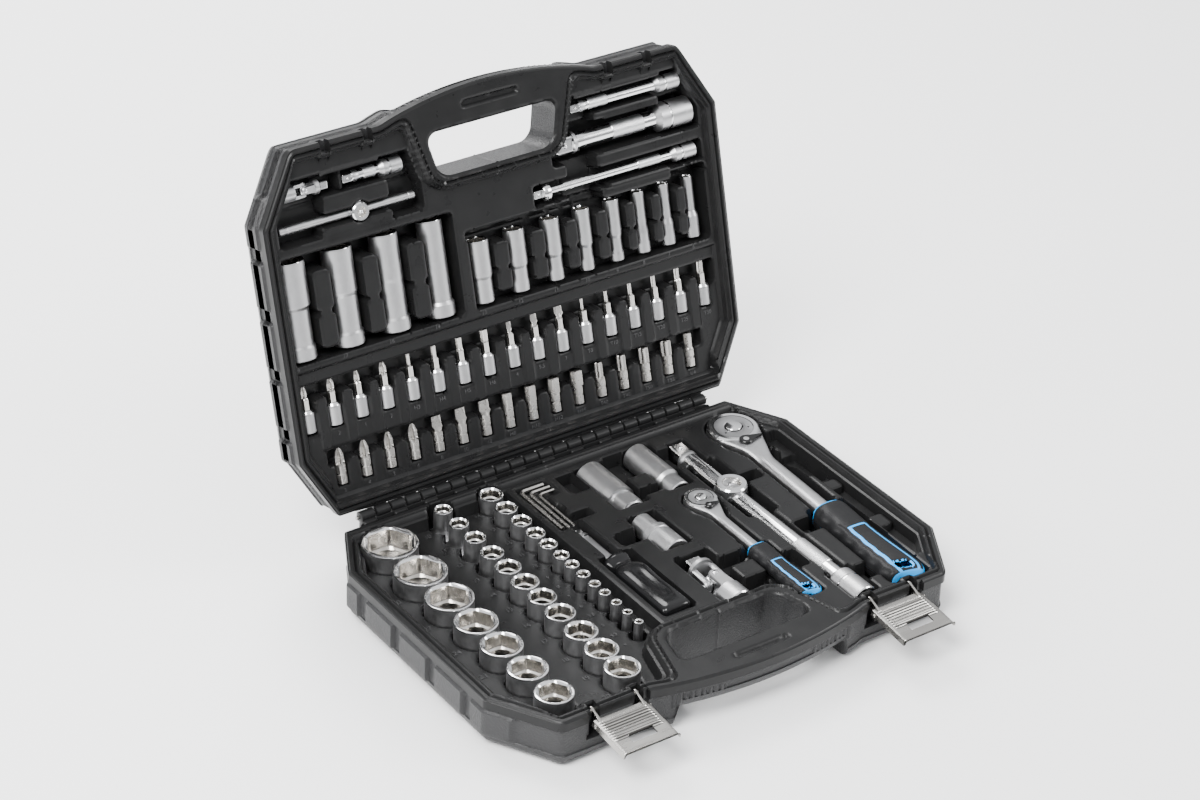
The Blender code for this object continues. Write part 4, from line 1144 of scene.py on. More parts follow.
def lid_steps() -> list[Step]:
    """The pockets and pads of the lid's tray, in the order that they are cut.

    Returns:
        The steps.
    """
    steps = [Step(rectangle(-230, 230, 26.5, 160, 2), 8.5, in_deck=True)]
    long_x = [x for _, x in LONG_X]
    pockets = [(rectangle(-192.5, -42, -60.5, 20.8, 5), 28.0), (rectangle(-32, 187, -36, 20.5, 4), 22.0),
               (rectangle(-191, 187, 37, 58, 3), 20.0), (rectangle(-174, 168, 90, 104, 3), 16.0),
               (rectangle(-187, -64, -100, -68, 4), 20.5), (rectangle(-182, -64, -116, -94, 4), 20.5),
               (rectangle(60, 186, -121, -94, 4), 19.0), (rectangle(50, 187, -98, -70, 4), 28.0),
               (rectangle(30, 187, -61, -44, 3), 19.0), (rectangle(62, 90, -74, -40, 3), 19.0),
               (rectangle(-34, 188, -42, -34, 3), 22.0)]
    bit_slots = union(*[rectangle(x - 5.4, x + 5.4, 50, 75.2, 2) for x in BIT_SOCKET_X])
    loose_slots = union(*[rectangle(x - 5.0, x + 5.0, 100, 121, 2) for x in LOOSE_BIT_X])
    pockets += [(bit_slots, 19.0), (loose_slots, 14.5)]
    steps += [Step(plan, depth, in_deck=True) for plan, depth in pockets]
    pads = [less(rectangle(x - 7.2, x + 7.2, -46, 13, 4), discs([(x - 8, -14, 3.4), (x + 8, -14, 3.4)]))
            for x in between(long_x)]
    pads += [less(rectangle(x - w / 2, x + w / 2, -27, 11, 3), discs([(x - w / 2, -6, 2.2), (x + w / 2, -6, 2.2)]))
             for x, w in zip(between(QUARTER_X), (13.0, 13.0, 11.0, 10.5, 8.5, 8.5, 8.5))]
    steps.append(Step(union(*pads), 6.0, True))
    nubs = [rectangle(x - 4.6, x + 4.6, 48.5, 90, 3) for x in between(BIT_SOCKET_X)]
    steps.append(Step(union(*nubs), 7.6, True, run=1.0, in_deck=True))
    nubs = [rectangle(x - 4.4, x + 4.4, 100.5, 135, 3) for x in between(LOOSE_BIT_X)]
    steps.append(Step(union(*nubs), 8.0, True, run=1.0, in_deck=True))
    plates = [
        less(rectangle(-147, -92, -98, -85, 2.5), discs([(-117.5, -80, 8.2)])),
        less(rectangle(-151, -91, -75.5, -63, 2.5), discs([(-117.5, -80, 8.2)])),
        rectangle(-147, -97, -122, -113.2, 2.5), rectangle(-131.5, -129.5, -112, -100, 1),
        less(rectangle(92, 152, -103, -95.6, 2), rectangle(92, 100, -98, -90, 1)),
        less(rectangle(90, 152, -71, -60.6, 2), rectangle(90, 98, -66, -56, 1)),
        less(rectangle(92, 156, -45.5, -36, 2), rectangle(92, 100, -48, -42, 1)),
        rectangle(76, 156, -124, -118, 2),
    ]
    steps.append(Step(union(*plates), 6.5, True, in_deck=True))
    steps.append(Step(rectangle(-25, 25, -142.0, -136.6, 2.7), 3.4))
    return steps


# ---------------------------------------------------------------- sockets and bits


@dataclass
class Socket:
    """A socket: a turned body with a square hole below and a hexagon above, as one closed surface."""

    name: str
    size: float
    length: float
    outside: tuple[tuple[float, float], ...]
    square: float = HALF_SQUARE
    depth_share: float = 0.5

    def shape(self) -> Shape:
        """Rings from the square hole's edge up the outside, over the mouth and down the inside.

        Returns:
            The closed shape, mouth up.
        """
        length, square = self.length, polygon(4, self.square, 0.06)
        hexagon = polygon(6, self.size * 1.02, 0.05)
        mouth, drive = self.outside[-1][1], self.outside[0][1]
        lip = min(mouth - 0.7, self.size * 1.02 / math.sqrt(3) + 0.35)
        bore = min(self.size * 0.44, lip - 0.4)
        seat = length - max(self.size * self.depth_share, 5.0)
        square_end = min(self.square * 0.95, seat - 2.0)
        rings: list[tuple[float, float | Array]] = [(0.0, square * 1.12), (0.0, drive - 0.8), (0.8, drive)]
        rings += [(z, r) for z, r in self.outside if 0.9 < z < length - 0.9]
        plain = len(rings)
        rings += [(length - 0.8, mouth), (length - 0.22, mouth - 0.2), (length, mouth - 0.7), (length, lip)]
        rings += [(length - 1.1, hexagon), (seat, hexagon), (seat - 0.8, bore), (square_end + 0.2, bore)]
        rings += [(square_end, square), (0.8, square)]
        marks = [SATIN] * plain + [POLISHED] * 4 + [BORE] * (len(rings) - plain - 4)
        rings, marks = braced([*rings, rings[0]], marks)
        return Shape().grid(turned(rings), marks, wrap_v=True)


def half_inch(size: float, radius: float, length: float = 35.5) -> Socket:
    """A half inch socket: a drive end of at least 22 mm and a concave shoulder to a smaller mouth.

    Args:
        size: Across the hexagon.
        radius: The mouth's outer radius.
        length: Overall length.

    Returns:
        The socket.
    """
    drive = max(radius, 11.0)
    low, high = 13.0, 20.0
    turn = [(low + (high - low) * t, radius + (drive - radius) * (1 - t) ** 2) for t in np.linspace(0, 1, 6)]
    if drive <= radius + 0.2:
        turn = [(length * 0.42, radius - 0.35), (length * 0.47, radius)]
        drive = radius - 0.35
    return Socket(f"socket_{size:g}", size, length, ((0.0, drive), *turn, (length, radius)))


def quarter_inch(size: float, radius: float, length: float = 24.0) -> Socket:
    """A quarter inch socket: a 12 mm drive end and a concave cone to a smaller mouth.

    Args:
        size: Across the hexagon.
        radius: The mouth's outer radius.
        length: Overall length.

    Returns:
        The socket.
    """
    drive = max(radius, 5.9)
    low, high = 8.5, 15.0
    turn = [(low + (high - low) * t, radius + (drive - radius) * (1 - t) ** 2) for t in np.linspace(0, 1, 6)]
    if drive <= radius + 0.1:
        turn = [(length * 0.42, radius - 0.25), (length * 0.48, radius)]
        drive = radius - 0.25
    return Socket(f"quarter_socket_{size:g}", size, length, ((0.0, drive), *turn, (length, radius)), QUARTER_SQUARE)


def long_socket(name: str, size: float, mouth: float, ring: float, neck: float, length: float, head: float,
                square: float = HALF_SQUARE) -> Socket:
    """A long socket: a wide mouth, a narrower neck and a polished ring at the drive end.

    Args:
        name: Its name.
        size: Across the hexagon.
        mouth: The mouth's outer radius.
        ring: Radius at the drive end.
        neck: Radius between.
        length: Overall length.
        head: Length of the wide part.
        square: Drive square.

    Returns:
        The socket.
    """
    outside = ((0.0, ring), (length * 0.13, ring), (length * 0.15, neck), (length - head - 3, neck),
               (length - head, mouth), (length, mouth))
    return Socket(name, size, length, outside, square, 0.9)


class Tip(Enum):
    """The shape of a screwdriver bit's end."""

    CROSS = "cross"
    HEX = "hexagon"
    SLOT = "slot"
    STAR = "star"


def blade(width: float, thick: float) -> Array:
    """Radii of a flat blade's section.

    Args:
        width: The blade's width.
        thick: Its thickness.

    Returns:
        The lesser of half the width over the cosine and half the thickness over the sine, for every angle.
    """
    sine = np.maximum(np.abs(np.sin(angles())), 1e-3)
    cosine = np.maximum(np.abs(np.cos(angles())), 1e-3)
    return np.minimum(width / 2 / cosine, thick / 2 / sine)


def tip_rings(kind: Tip, size: float, reach: float) -> list[tuple[float, float | Array]]:
    """The end of a bit, from its shoulder at 0 to its point.

    Args:
        kind: The tip's shape.
        size: Its width.
        reach: Its length.

    Returns:
        Height and radius, or radii, of each ring.
    """
    if kind is Tip.CROSS:
        full = cross(size / 2, size * 0.22)
        return [(0.0, size / 2), (reach * 0.12, full), (reach * 0.55, full * 0.94), (reach * 0.86, full * 0.6),
                (reach, full * 0.24)]
    if kind is Tip.SLOT:
        return [(0.0, size * 0.42), (reach * 0.3, blade(size, size * 0.6)), (reach, blade(size, size * 0.17))]
    section = polygon(6, size, 0.04) if kind is Tip.HEX else star(6, size / 2, size * 0.37)
    return [(0.0, section), (reach - 0.5, section), (reach, section * 0.86)]


@dataclass
class Bit:
    """A bit: a hexagonal shank, or a chromed socket holding one, and a tip."""

    name: str
    kind: Tip
    size: float
    in_socket: bool
    length: float

    def shape(self) -> Shape:
        """Rings along the bit; the shank with a groove, or the socket's body with a cone.

        Returns:
            The shape.
        """
        if self.in_socket:
            shank = polygon(6, 6.3, 0.06)
            body = [(0.0, 5.1), (0.6, 5.85), (14.2, 5.85), (15.4, 5.6), (17.4, 4.3), (17.6, 3.9)]
            start = 27.0
            rings = [*body, (17.6, shank), (start - 1.2, shank), (start, min(self.size / 2 + 0.3, 3.1))]
            marks = [SATIN] * 3 + [POLISHED] * 3
        else:
            hexagon = polygon(6, 7.94, 0.05)
            start = 15.5
            rings = [(0.0, hexagon * 0.9), (0.5, hexagon), (7.0, hexagon), (7.3, 3.75), (8.4, 3.75), (8.7, hexagon),
                     (start - 1.4, hexagon), (start, min(self.size / 2 + 0.35, 4.0))]
            marks = []
        end = tip_rings(self.kind, self.size, self.length - start)
        rings += [(start + z, r) for z, r in end]
        marks += [BORE] * (len(rings) - 1 - len(marks))
        return closed_turn(rings, marks)


# ---------------------------------------------------------------- bars and joints


@dataclass
class Bar:
    """A drive bar: a male square, a neck, a shank with a knurled band, and a socket end."""

    name: str
    length: float
    square: float
    male: float
    shank: float
    female: float
    female_length: float
    knurl: tuple[float, float] = (0.0, 0.0)
    collar: float = 0.0
    groove: bool = True
    upright: bool = False

    def shape(self) -> Shape:
        """Rings from the male end, and over the socket end into its square hole.

        Returns:
            The shape.
        """
        square = polygon(4, self.square * 0.985, 0.08)
        m, length, r = self.male, self.length, self.shank
        head = self.collar or max(self.square * 0.68, r)
        rings: list[tuple[float, float | Array]] = [(0.0, square * 0.84), (self.square * 0.12, square)]
        rings += [(m - 0.6, square), (m - 0.2, head * 0.93), (m + 0.5, head)]
        marks = [POLISHED] * 4
        if self.collar:
            rings += [(m + 2.5, head * 1.05), (m + 5.5, head), (m + 7.0, r)]
            marks += [POLISHED, POLISHED, SATIN]
        else:
            rings += [(m + 3.0, head), (m + 5.0, r)]
            marks += [SATIN, SATIN]
        low, high = self.knurl
        if high > low:
            rings += [(low, r), (low + 0.4, r + 0.35), (high - 0.4, r + 0.35), (high, r)]
            marks += [POLISHED, POLISHED, 3, POLISHED]
        start = length - self.female_length
        f = self.female
        rings += [(start - 2.5, r), (start + 0.5, f * 0.94), (start + 1.0, f)]
        marks += [POLISHED, SATIN, SATIN]
        if self.groove:
            g = start + self.female_length * 0.3
            rings += [(g, f), (g + 0.3, f - 0.5), (g + 1.5, f - 0.5), (g + 1.8, f)]
            marks += [SATIN, POLISHED, POLISHED, POLISHED]
        rings += [(length - 0.7, f), (length, f - 0.7), (length, square * 1.1), (length - 0.6, square * 1.03)]
        rings += [(length - min(self.female_length, 14.0) + 2, square * 1.03)]
        marks += [SATIN, POLISHED, POLISHED, BORE, BORE]
        return closed_turn(rings, marks)

    def ball(self) -> Shape:
        """The spring ball on the male square's upper flat.

        Returns:
            The shape.
        """
        out = self.square * 0.485
        side = (0.0, out) if self.upright else (out, 0.0)
        return ball((*side, self.male * 0.5), self.square * 0.16)


def ball(centre: Point, radius: float, squash: float = 1.0) -> Shape:
    """A sphere: rings of radius times a sine at heights of radius times a cosine.

    Args:
        centre: Its middle.
        radius: Its radius.
        squash: Height over width.

    Returns:
        The shape.
    """
    t = np.linspace(0.12, math.pi - 0.12, 9)
    rings = [(-radius * math.cos(v) * squash, radius * math.sin(v)) for v in t]
    return closed_turn(rings, POLISHED).moved(*centre)


def plate(outline: Array, thickness: float, edge: float = 0.3, mark: int = 0) -> Shape:
    """A flat plate in x and z with bevelled edges: its outline shrunk towards its middle at the faces.

    Args:
        outline: Points of the outline.
        thickness: Thickness along y.
        edge: The bevel.
        mark: Finish number.

    Returns:
        The shape.
    """
    middle = outline.mean(0)
    reach = np.linalg.norm(outline - middle, axis=1, keepdims=True)
    small = middle + (outline - middle) * (1 - edge / reach)
    levels = [(-thickness / 2, outline * 0 + middle), (-thickness / 2, small), (-thickness / 2 + edge, outline),
              (thickness / 2 - edge, outline), (thickness / 2, small), (thickness / 2, outline * 0 + middle)]
    points = [np.stack([o[:, 0], np.full(len(o), y), o[:, 1]], -1) for y, o in levels]
    return Shape().grid(np.array(points), mark, wrap_v=True)


def ear(reach: float, half: float, foot: float = 0.0) -> Array:
    """The outline of a fork's ear: straight sides and a round end, in x and z.

    Args:
        reach: Height of the round end.
        half: Half its width.
        foot: Height of its foot.

    Returns:
        Points of the outline.
    """
    a = np.linspace(0, math.pi, 24)
    end = np.stack([half * np.cos(a), reach - half + half * np.sin(a)], -1)
    return np.concatenate([end, [[-half * 1.05, foot], [half * 1.05, foot]]])


@dataclass
class UniversalJoint:
    """A universal joint: a socket yoke, a cross and a drive yoke, each yoke with two round ears."""

    prefix: str
    radius: float
    square: float
    tip: float
    end: float
    place: Place

    def body(self, back: float, front: float, male: bool) -> Shape:
        """The turned part of a yoke.

        Args:
            back: Height of its outer end.
            front: Height of its inner end.
            male: Whether it ends in a square.

        Returns:
            The shape.
        """
        r = self.radius
        if male:
            square = polygon(4, self.square * 0.98, 0.08)
            rings = [(back, square * 0.85), (back - self.square * 0.12, square), (front + 4.6, square),
                     (front + 4.4, r * 0.9), (front + 3.8, r * 0.97), (front + 0.8, r * 0.97), (front, r * 0.8)]
            return closed_turn(rings, [POLISHED, POLISHED, POLISHED, POLISHED, SATIN, SATIN])
        square = polygon(4, self.square * 1.04, 0.08)
        rings = [(front, r * 0.8), (front - 0.8, r), (back + 0.8, r), (back, r - 0.8), (back, square * 1.08),
                 (back + 0.6, square), (back + self.square * 0.9, square)]
        return closed_turn(rings, [SATIN, SATIN, POLISHED, POLISHED, BORE, BORE])

    def fork(self, foot: float, turn: bool, forward: int) -> Shape:
        """Two ears and their pin heads, from a foot past the cross's middle.

        Args:
            foot: Height of the foot.
            turn: Whether the ears stand across x.
            forward: Which way they point.

        Returns:
            The shape.
        """
        r = self.radius
        shape = Shape()
        outline = ear(abs(foot) + r * 0.42, r * 0.46)
        for side in (-1, 1):
            made = plate(outline, r * 0.4, r * 0.09)
            made.points = [p * np.array([1, 1, forward]) for p in made.points]
            pin = closed_turn([(0.0, r * 0.2), (r * 0.1, r * 0.2), (r * 0.13, r * 0.14)], [POLISHED, POLISHED])
            pin.points = [np.stack([p[:, 0], side * (r * 0.81 + p[:, 2]), p[:, 1]], -1) for p in pin.points]
            for part in (made.moved(0.0, side * r * 0.66, foot), pin):
                part.points = [p[:, [1, 0, 2]] if turn else p for p in part.points]
                shape.add(part)
        return shape

    def build(self, bodies: tuple[str, str, str]) -> None:
        """Makes the three pieces about the cross's middle, z towards the drive square.

        Args:
            bodies: The bodies of the socket yoke, the cross and the drive yoke.
        """
        r = self.radius
        socket = self.body(self.end, -r * 1.25, False).add(self.fork(-r * 1.3, False, 1))
        drive = self.body(self.tip, r * 1.25, True).add(self.fork(r * 1.3, True, -1))
        middle = block((-r * 0.46, -r * 0.46, -r * 0.46), (r * 0.46, r * 0.46, r * 0.46), r * 0.1, POLISHED)
        for axis in (0, 1):
            pin = closed_turn([(-r * 0.8, r * 0.17), (r * 0.8, r * 0.17)], POLISHED)
            pin.points = [p[:, [2, 0, 1] if axis == 0 else [1, 2, 0]] for p in pin.points]
            middle.add(pin)
        parts = ((socket, "socket_yoke"), (middle, "cross"), (drive, "drive_yoke"))
        for (shape, name), body in zip(parts, bodies):
            made = Shape().add(shape, self.place)
            make_piece(f"{self.prefix}_{name}_detail", made, steels(), body,
                       [f"{self.prefix}_{name}"])


# ---------------------------------------------------------------- ratchets, spinner, keys


def sandwich(top: Array, bottom: Array, keep: Array, marks: Array, wall: int) -> Shape:
    """Two grids over one plan, joined along every open edge of the kept faces, holes included.

    Args:
        top: The upper grid.
        bottom: The lower grid.
        keep: Which faces are there.
        marks: Finish number of each face.
        wall: Finish number of the edge.

    Returns:
        The shape.
    """
    shape = Shape().grid(top, 0, keep=keep).grid(bottom, 0, keep=keep)
    shape.marks = [marks[keep], marks[keep]]
    rows, columns = top.shape[:2]
    return shape.stitched(open_edges((rows, columns), keep), rows * columns, wall)


@dataclass
class Ratchet:
    """A reversing ratchet in its own frame: head's top face at z = 0, handle along -Y."""

    prefix: str
    head: float
    height: float
    neck: float
    thick: float
    grip_start: float
    grip_end: float
    grip_width: tuple[float, float]
    grip_thick: float
    button: float
    place: Place

    def finishes(self) -> list[bpy.types.Material]:
        """The steels and black plastic; the black also stands as painted shade in the head's grooves and screw holes.
        """
        return [*steels(), BLACK_PLASTIC_AND_SHADE.material()]

    def head_shape(self) -> Shape:
        """A turned head with a round shoulder, a groove round its cover and a groove round its button, both grooves
        painted black as shade.

        Returns:
            The shape.
        """
        r, h = self.head, self.height
        c, b = r * 0.74, self.button * 1.28
        rings = [(-h, r * 0.9), (-h + r * 0.05, r * 0.985), (-h + r * 0.1, r), (-r * 0.12, r), (-r * 0.045, r * 0.975),
                 (0.0, r * 0.91), (0.0, c + r * 0.03), (-r * 0.03, c + r * 0.02), (-r * 0.03, c), (0.0, c - 0.15),
                 (0.0, b + 0.6), (-0.25, b), (-1.8, b - 0.2), (-2.0, b - 0.8)]
        # Finish 3, black, on the cover groove's wall and floor and in the button's hole is painted shade.
        marks = [SATIN] * 3 + [POLISHED] * 3 + [3, 3, SATIN, SATIN, POLISHED, 3, 3]
        shape = closed_turn(rings, marks)
        for turn in (3.6, 5.7):
            x, y = r * 0.56 * math.cos(turn), r * 0.56 * math.sin(turn)
            # The thin black hexagon on each screw is painted shade standing for its hex socket.
            for part in (closed_turn([(-0.3, r * 0.075), (0.06, r * 0.075), (0.08, r * 0.05)], [SATIN, SATIN]),
                         closed_turn([(0.0, polygon(6, r * 0.08)), (0.1, polygon(6, r * 0.08))], 3)):
                shape.add(part.moved(x, y, 0.0))
        return shape

    def neck_shape(self) -> Shape:
        """A pear-shaped shoulder falling to a flattened neck: width and height ease from the head's to the neck's.

        Returns:
            The shape.
        """
        s = np.linspace(0, 1, 56)
        start = self.head * 0.3
        stations = start + s * (self.grip_start + 3 - start)
        ease = np.clip((stations - start) / (self.head * 2.0), 0, 1)
        width = self.neck / 2 + (self.head * 0.95 - self.neck / 2) * (1 - ease ** 1.25) ** 1.9
        drop = np.clip((stations - self.head * 1.3) / (self.head * 1.0), 0, 1)
        drop = drop * drop * (3 - 2 * drop)
        half = self.height / 2 - 0.35 + (self.thick / 2 - self.height / 2 + 0.35) * drop
        power = 7.0 - 4.2 * drop
        return closed_loft(loft(stations, width, half, power, 0.0, -self.height / 2, 64), SATIN)

    def grip_shape(self) -> Shape:
        """The grip as two surfaces over its plan, with finger dents, blue edging and a hanging hole.

        Returns:
            The shape: rubber 0, blue 1.
        """
        rows, columns = 110, 46
        s = np.linspace(0, 1, rows)[:, None]
        a = np.linspace(-math.pi / 2, math.pi / 2, columns)
        u = np.sign(a) * (np.abs(a) / (math.pi / 2)) ** 0.75
        front, back = self.grip_width[0] / 2, self.grip_width[1] / 2
        ends = np.clip(1 - ((s - 0.5) * 2) ** 20, 0.0, 1) ** 0.5
        waist = 1 - 0.05 * np.exp(-((s - 0.42) / 0.14) ** 2) + 0.02 * np.exp(-((s - 0.1) / 0.08) ** 2)
        dents = 0.045 * np.cos(s * 2 * math.pi * 7.0) * (s > 0.09) * (s < 0.95) * (u < 0)
        width = (front + (back - front) * s ** 1.4) * (waist + dents) * (0.3 + 0.7 * ends)
        skew = (s > 0.9) * (s - 0.9) * 2.0 * u
        length = self.grip_end - self.grip_start
        x = width * u
        y = -self.grip_start - length * (s + 0.12 * skew) + np.zeros(columns)
        hole_x, hole_y = 0.0, -self.grip_end + length * 0.085
        hole_w, hole_l = back * 0.34, length * 0.034
        hole = rectangle(hole_x - hole_w, hole_x + hole_w, hole_y - hole_l, hole_y + hole_l, hole_l * 0.6)

        def slanted(px: Array, py: Array) -> Array:
            """Distance outside the hanging hole, sheared along x."""
            return hole(px, py + (px - hole_x) * 0.25)

        d = slanted(x, y)
        close = (np.abs(d) < 1.0)
        x = x + np.where(close, -d * (slanted(x + 0.1, y) - slanted(x - 0.1, y)) / 0.2, 0)
        y = y + np.where(close, -d * (slanted(x, y + 0.1) - slanted(x, y - 0.1)) / 0.2, 0)
        curve = np.clip(1 - np.abs(u) ** 2.8, 0.0, 1) ** (1 / 2.8)
        thick = self.grip_thick / 2 * (0.92 + 0.08 * np.cos(s * 2 * math.pi)) * (0.25 + 0.75 * ends)
        groove = 0.5 * np.exp(-((np.abs(u) - 0.66) / 0.05) ** 2) * (s > 0.3) * (s < 0.97)
        half = np.maximum(thick * curve - groove - 1.4 * np.exp(-np.maximum(slanted(x, y), 0) / 1.5), 0.05)
        middle = -self.height / 2
        su, ss = (u[:-1] + u[1:]) / 2 * np.ones((rows - 1, 1)), (s[:-1] + s[1:]) / 2 * np.ones(columns - 1)
        cx, cy = (x[:-1, :-1] + x[1:, 1:]) / 2, (y[:-1, :-1] + y[1:, 1:]) / 2
        hole_d = slanted(cx, cy)
        panel = np.maximum(np.abs(su - 0.08) / 0.56, 1 - (ss - 0.36) / 0.06 * (ss < 0.42) - 2.0 * (ss >= 0.42))
        blue = (ss < 0.045) | ((np.abs(panel - 0.92) < 0.14) & (ss > 0.35)) | ((su > 0.86) & (ss > 0.45))
        blue |= (hole_d < 1.2) | (ss > 0.985)
        marks = blue.astype(int)
        return sandwich(np.stack([x, y, middle + half], -1), np.stack([x, y, middle - half], -1), hole_d > 0,
                        marks, 1)

    def lever_shape(self) -> Shape:
        """A teardrop paddle: a round pivot end drawn out to a narrow tail, with a screw on it.

        Returns:
            The shape.
        """
        r = self.head * 0.26
        a = np.linspace(0, 2 * math.pi, 48, endpoint=False)
        tail = np.clip(np.cos(a), 0, 1) ** 3
        outline = np.stack([-r * 0.5 + r * np.cos(a) * (1 + 1.75 * tail), r * np.sin(a) * (1 - 0.35 * tail)], -1)
        made = plate(outline, 2.3, 0.5, 3)
        made.points = [np.stack([p[:, 0], p[:, 2] - self.head * 1.02, p[:, 1] + 0.55], -1) for p in made.points]
        screw = closed_turn([(1.3, r * 0.42), (1.75, r * 0.42), (1.8, r * 0.34)], [POLISHED, POLISHED])
        post = closed_turn([(-self.height * 0.3, r * 0.5), (0.2, r * 0.5)], 3)
        made.add(screw.moved(-r * 0.5, -self.head * 1.02, 0.0))
        return made.add(post.moved(0.0, -self.head * 1.02, 0.0))

    def build(self) -> None:
        """Makes the ratchet's pieces."""
        p, place = self.prefix, self.place
        body = Shape().add(self.head_shape(), place).add(self.neck_shape(), place)
        make_piece(f"{p}_head_detail", body, self.finishes(), p, [f"{p}_body", f"{p}_cover"])
        rubber = [GRIP_RUBBER.material(), BLUE_ACCENT.material()]
        make_piece(f"{p}_grip_detail", Shape().add(self.grip_shape(), place), rubber, p,
                   [f"{p}_grip"])
        b = self.button
        cap = b * 1.18
        button = closed_turn([(-3.0, b), (0.12, b), (0.2, cap), (0.7, cap), (1.1, cap - 0.3), (1.3, cap - 1.0)],
                             [SATIN, SATIN, POLISHED, POLISHED, POLISHED])
        make_piece(f"{p}_button_detail", Shape().add(button, place), self.finishes(), f"{p}_button",
                   [f"{p}_button"])
        make_piece(f"{p}_lever_detail", Shape().add(self.lever_shape(), place), self.finishes(), f"{p}_lever",
                   [f"{p}_lever"])


@dataclass(frozen=True)
class Spinner:
    """The spinner handle: a soft square grip with a waist, and a thin shaft with a drive square."""

    x: float = -20.0
    tip: float = 63.0
    grip: tuple[float, float] = (14.0, -69.0)
    radius: float = 13.0
    shaft: float = 3.6
    depth: float = 13.5

    def build(self) -> None:
        """The grip is a loft of rounded squares; the shaft is turned."""
        s = np.linspace(0, 1, 70)
        stations = s * (self.grip[0] - self.grip[1])
        ends = np.clip(1 - np.abs(s * 2 - 1) ** 26, 0, 1) ** 0.5
        waist = 1 - 0.2 * np.exp(-((s - 0.16) / 0.07) ** 2) - 0.05 * np.exp(-((s - 0.55) / 0.2) ** 2)
        half = self.radius * waist * (0.35 + 0.65 * ends)
        power = 2.2 + 2.2 * np.clip((s - 0.1) * 5, 0, 1)
        grip = closed_loft(loft(stations, half, half, power, count=72), 0)
        for points in grip.points:
            bed = np.exp(-((points[:, 1] + 45) / 19) ** 6) * np.exp(-(points[:, 0] / 3.2) ** 4)
            points[:, 2] -= np.where(points[:, 2] > 0, 1.5 * bed, 0)
        place = in_base(self.x, self.grip[0], self.depth)
        make_piece("spinner_grip_detail", Shape().add(grip, place), [BLACK_PLASTIC_AND_SHADE.material()], "spinner",
                   ["spinner_grip"])
        square = polygon(4, QUARTER_SQUARE * 0.98, 0.08)
        length = self.tip - self.grip[0] + 4
        wide = polygon(4, 7.4, 0.12)
        rings = [(0.0, wide), (length - 12, wide), (length - 11.4, 5.0), (length - 8.6, 5.0), (length - 8, square),
                 (length - 0.8, square), (length, square * 0.85)]
        shaft = closed_turn(rings, [SATIN, POLISHED, SATIN, POLISHED, POLISHED, POLISHED])
        place = in_base(self.x, self.grip[0] - 4, self.depth, TO_BACK)
        make_piece("spinner_shaft_detail", Shape().add(shaft, place), steels(), "spinner",
                   ["spinner_shaft"])


def build_hex_keys() -> None:
    """Three nested keys: a hexagonal bar along a path with a round corner."""
    for i, across in enumerate((3.0, 2.5, 2.0)):
        r, x, y, run = across / math.sqrt(3), -32 + 5.0 * i, 121 - 5.0 * i, 4.0
        a = np.linspace(math.pi, math.pi / 2, 9)
        corner = np.stack([x + run + run * np.cos(a), y - run + run * np.sin(a)], -1)
        path = np.concatenate([[[x, y - 58 + 5.0 * i], [x, y - 30]], corner, [[x + 21 - 2.5 * i, y]]])
        path = np.column_stack([path, np.full(len(path), PARTING - 6.0)])
        shape = tube_path(path, r, 6, math.pi / 6)
        make_piece(f"hex_key_{i + 1}_detail", shape, [BIT_STEEL.material()], f"hex_key_{i + 1}",
                   [f"hex_key_{i + 1}"])


# ---------------------------------------------------------------- fittings of the case


def build_hinge() -> None:
    """Twelve pairs of knuckles on one rod, and the leaves that join them to the two halves."""
    for body, sign in (("base", -1), ("lid", 1)):
        low, high, back = (27.5, 41.8, 140.2) if sign < 0 else (42.0, 56.0, 137.8)
        leaf_low, leaf_high = (27.5, 41.5) if sign < 0 else (43.0, 56.0)
        shape = block((-161.0, back, low), (161.0, 141.35, high), 0.3)
        if sign > 0:
            shape.turned_open()
        for i in range(12):
            x = (i - 5.5) * 26.6 + sign * 6.65
            knuckle = closed_turn([(-6.0, 3.9), (-5.6, 4.5), (5.6, 4.5), (6.0, 3.9)], 0)
            shape.add(knuckle, Place((x, HINGE_Y, HINGE_Z), TO_RIGHT))
            leaf = block((x - 5.9, 137.8, leaf_low), (x + 5.9, 147.6, leaf_high), 1.5)
            shape.add(leaf if sign < 0 else leaf.turned_open())
        make_piece(f"hinge_knuckles_{body}", shape, [CASE_PLASTIC.material()], body)


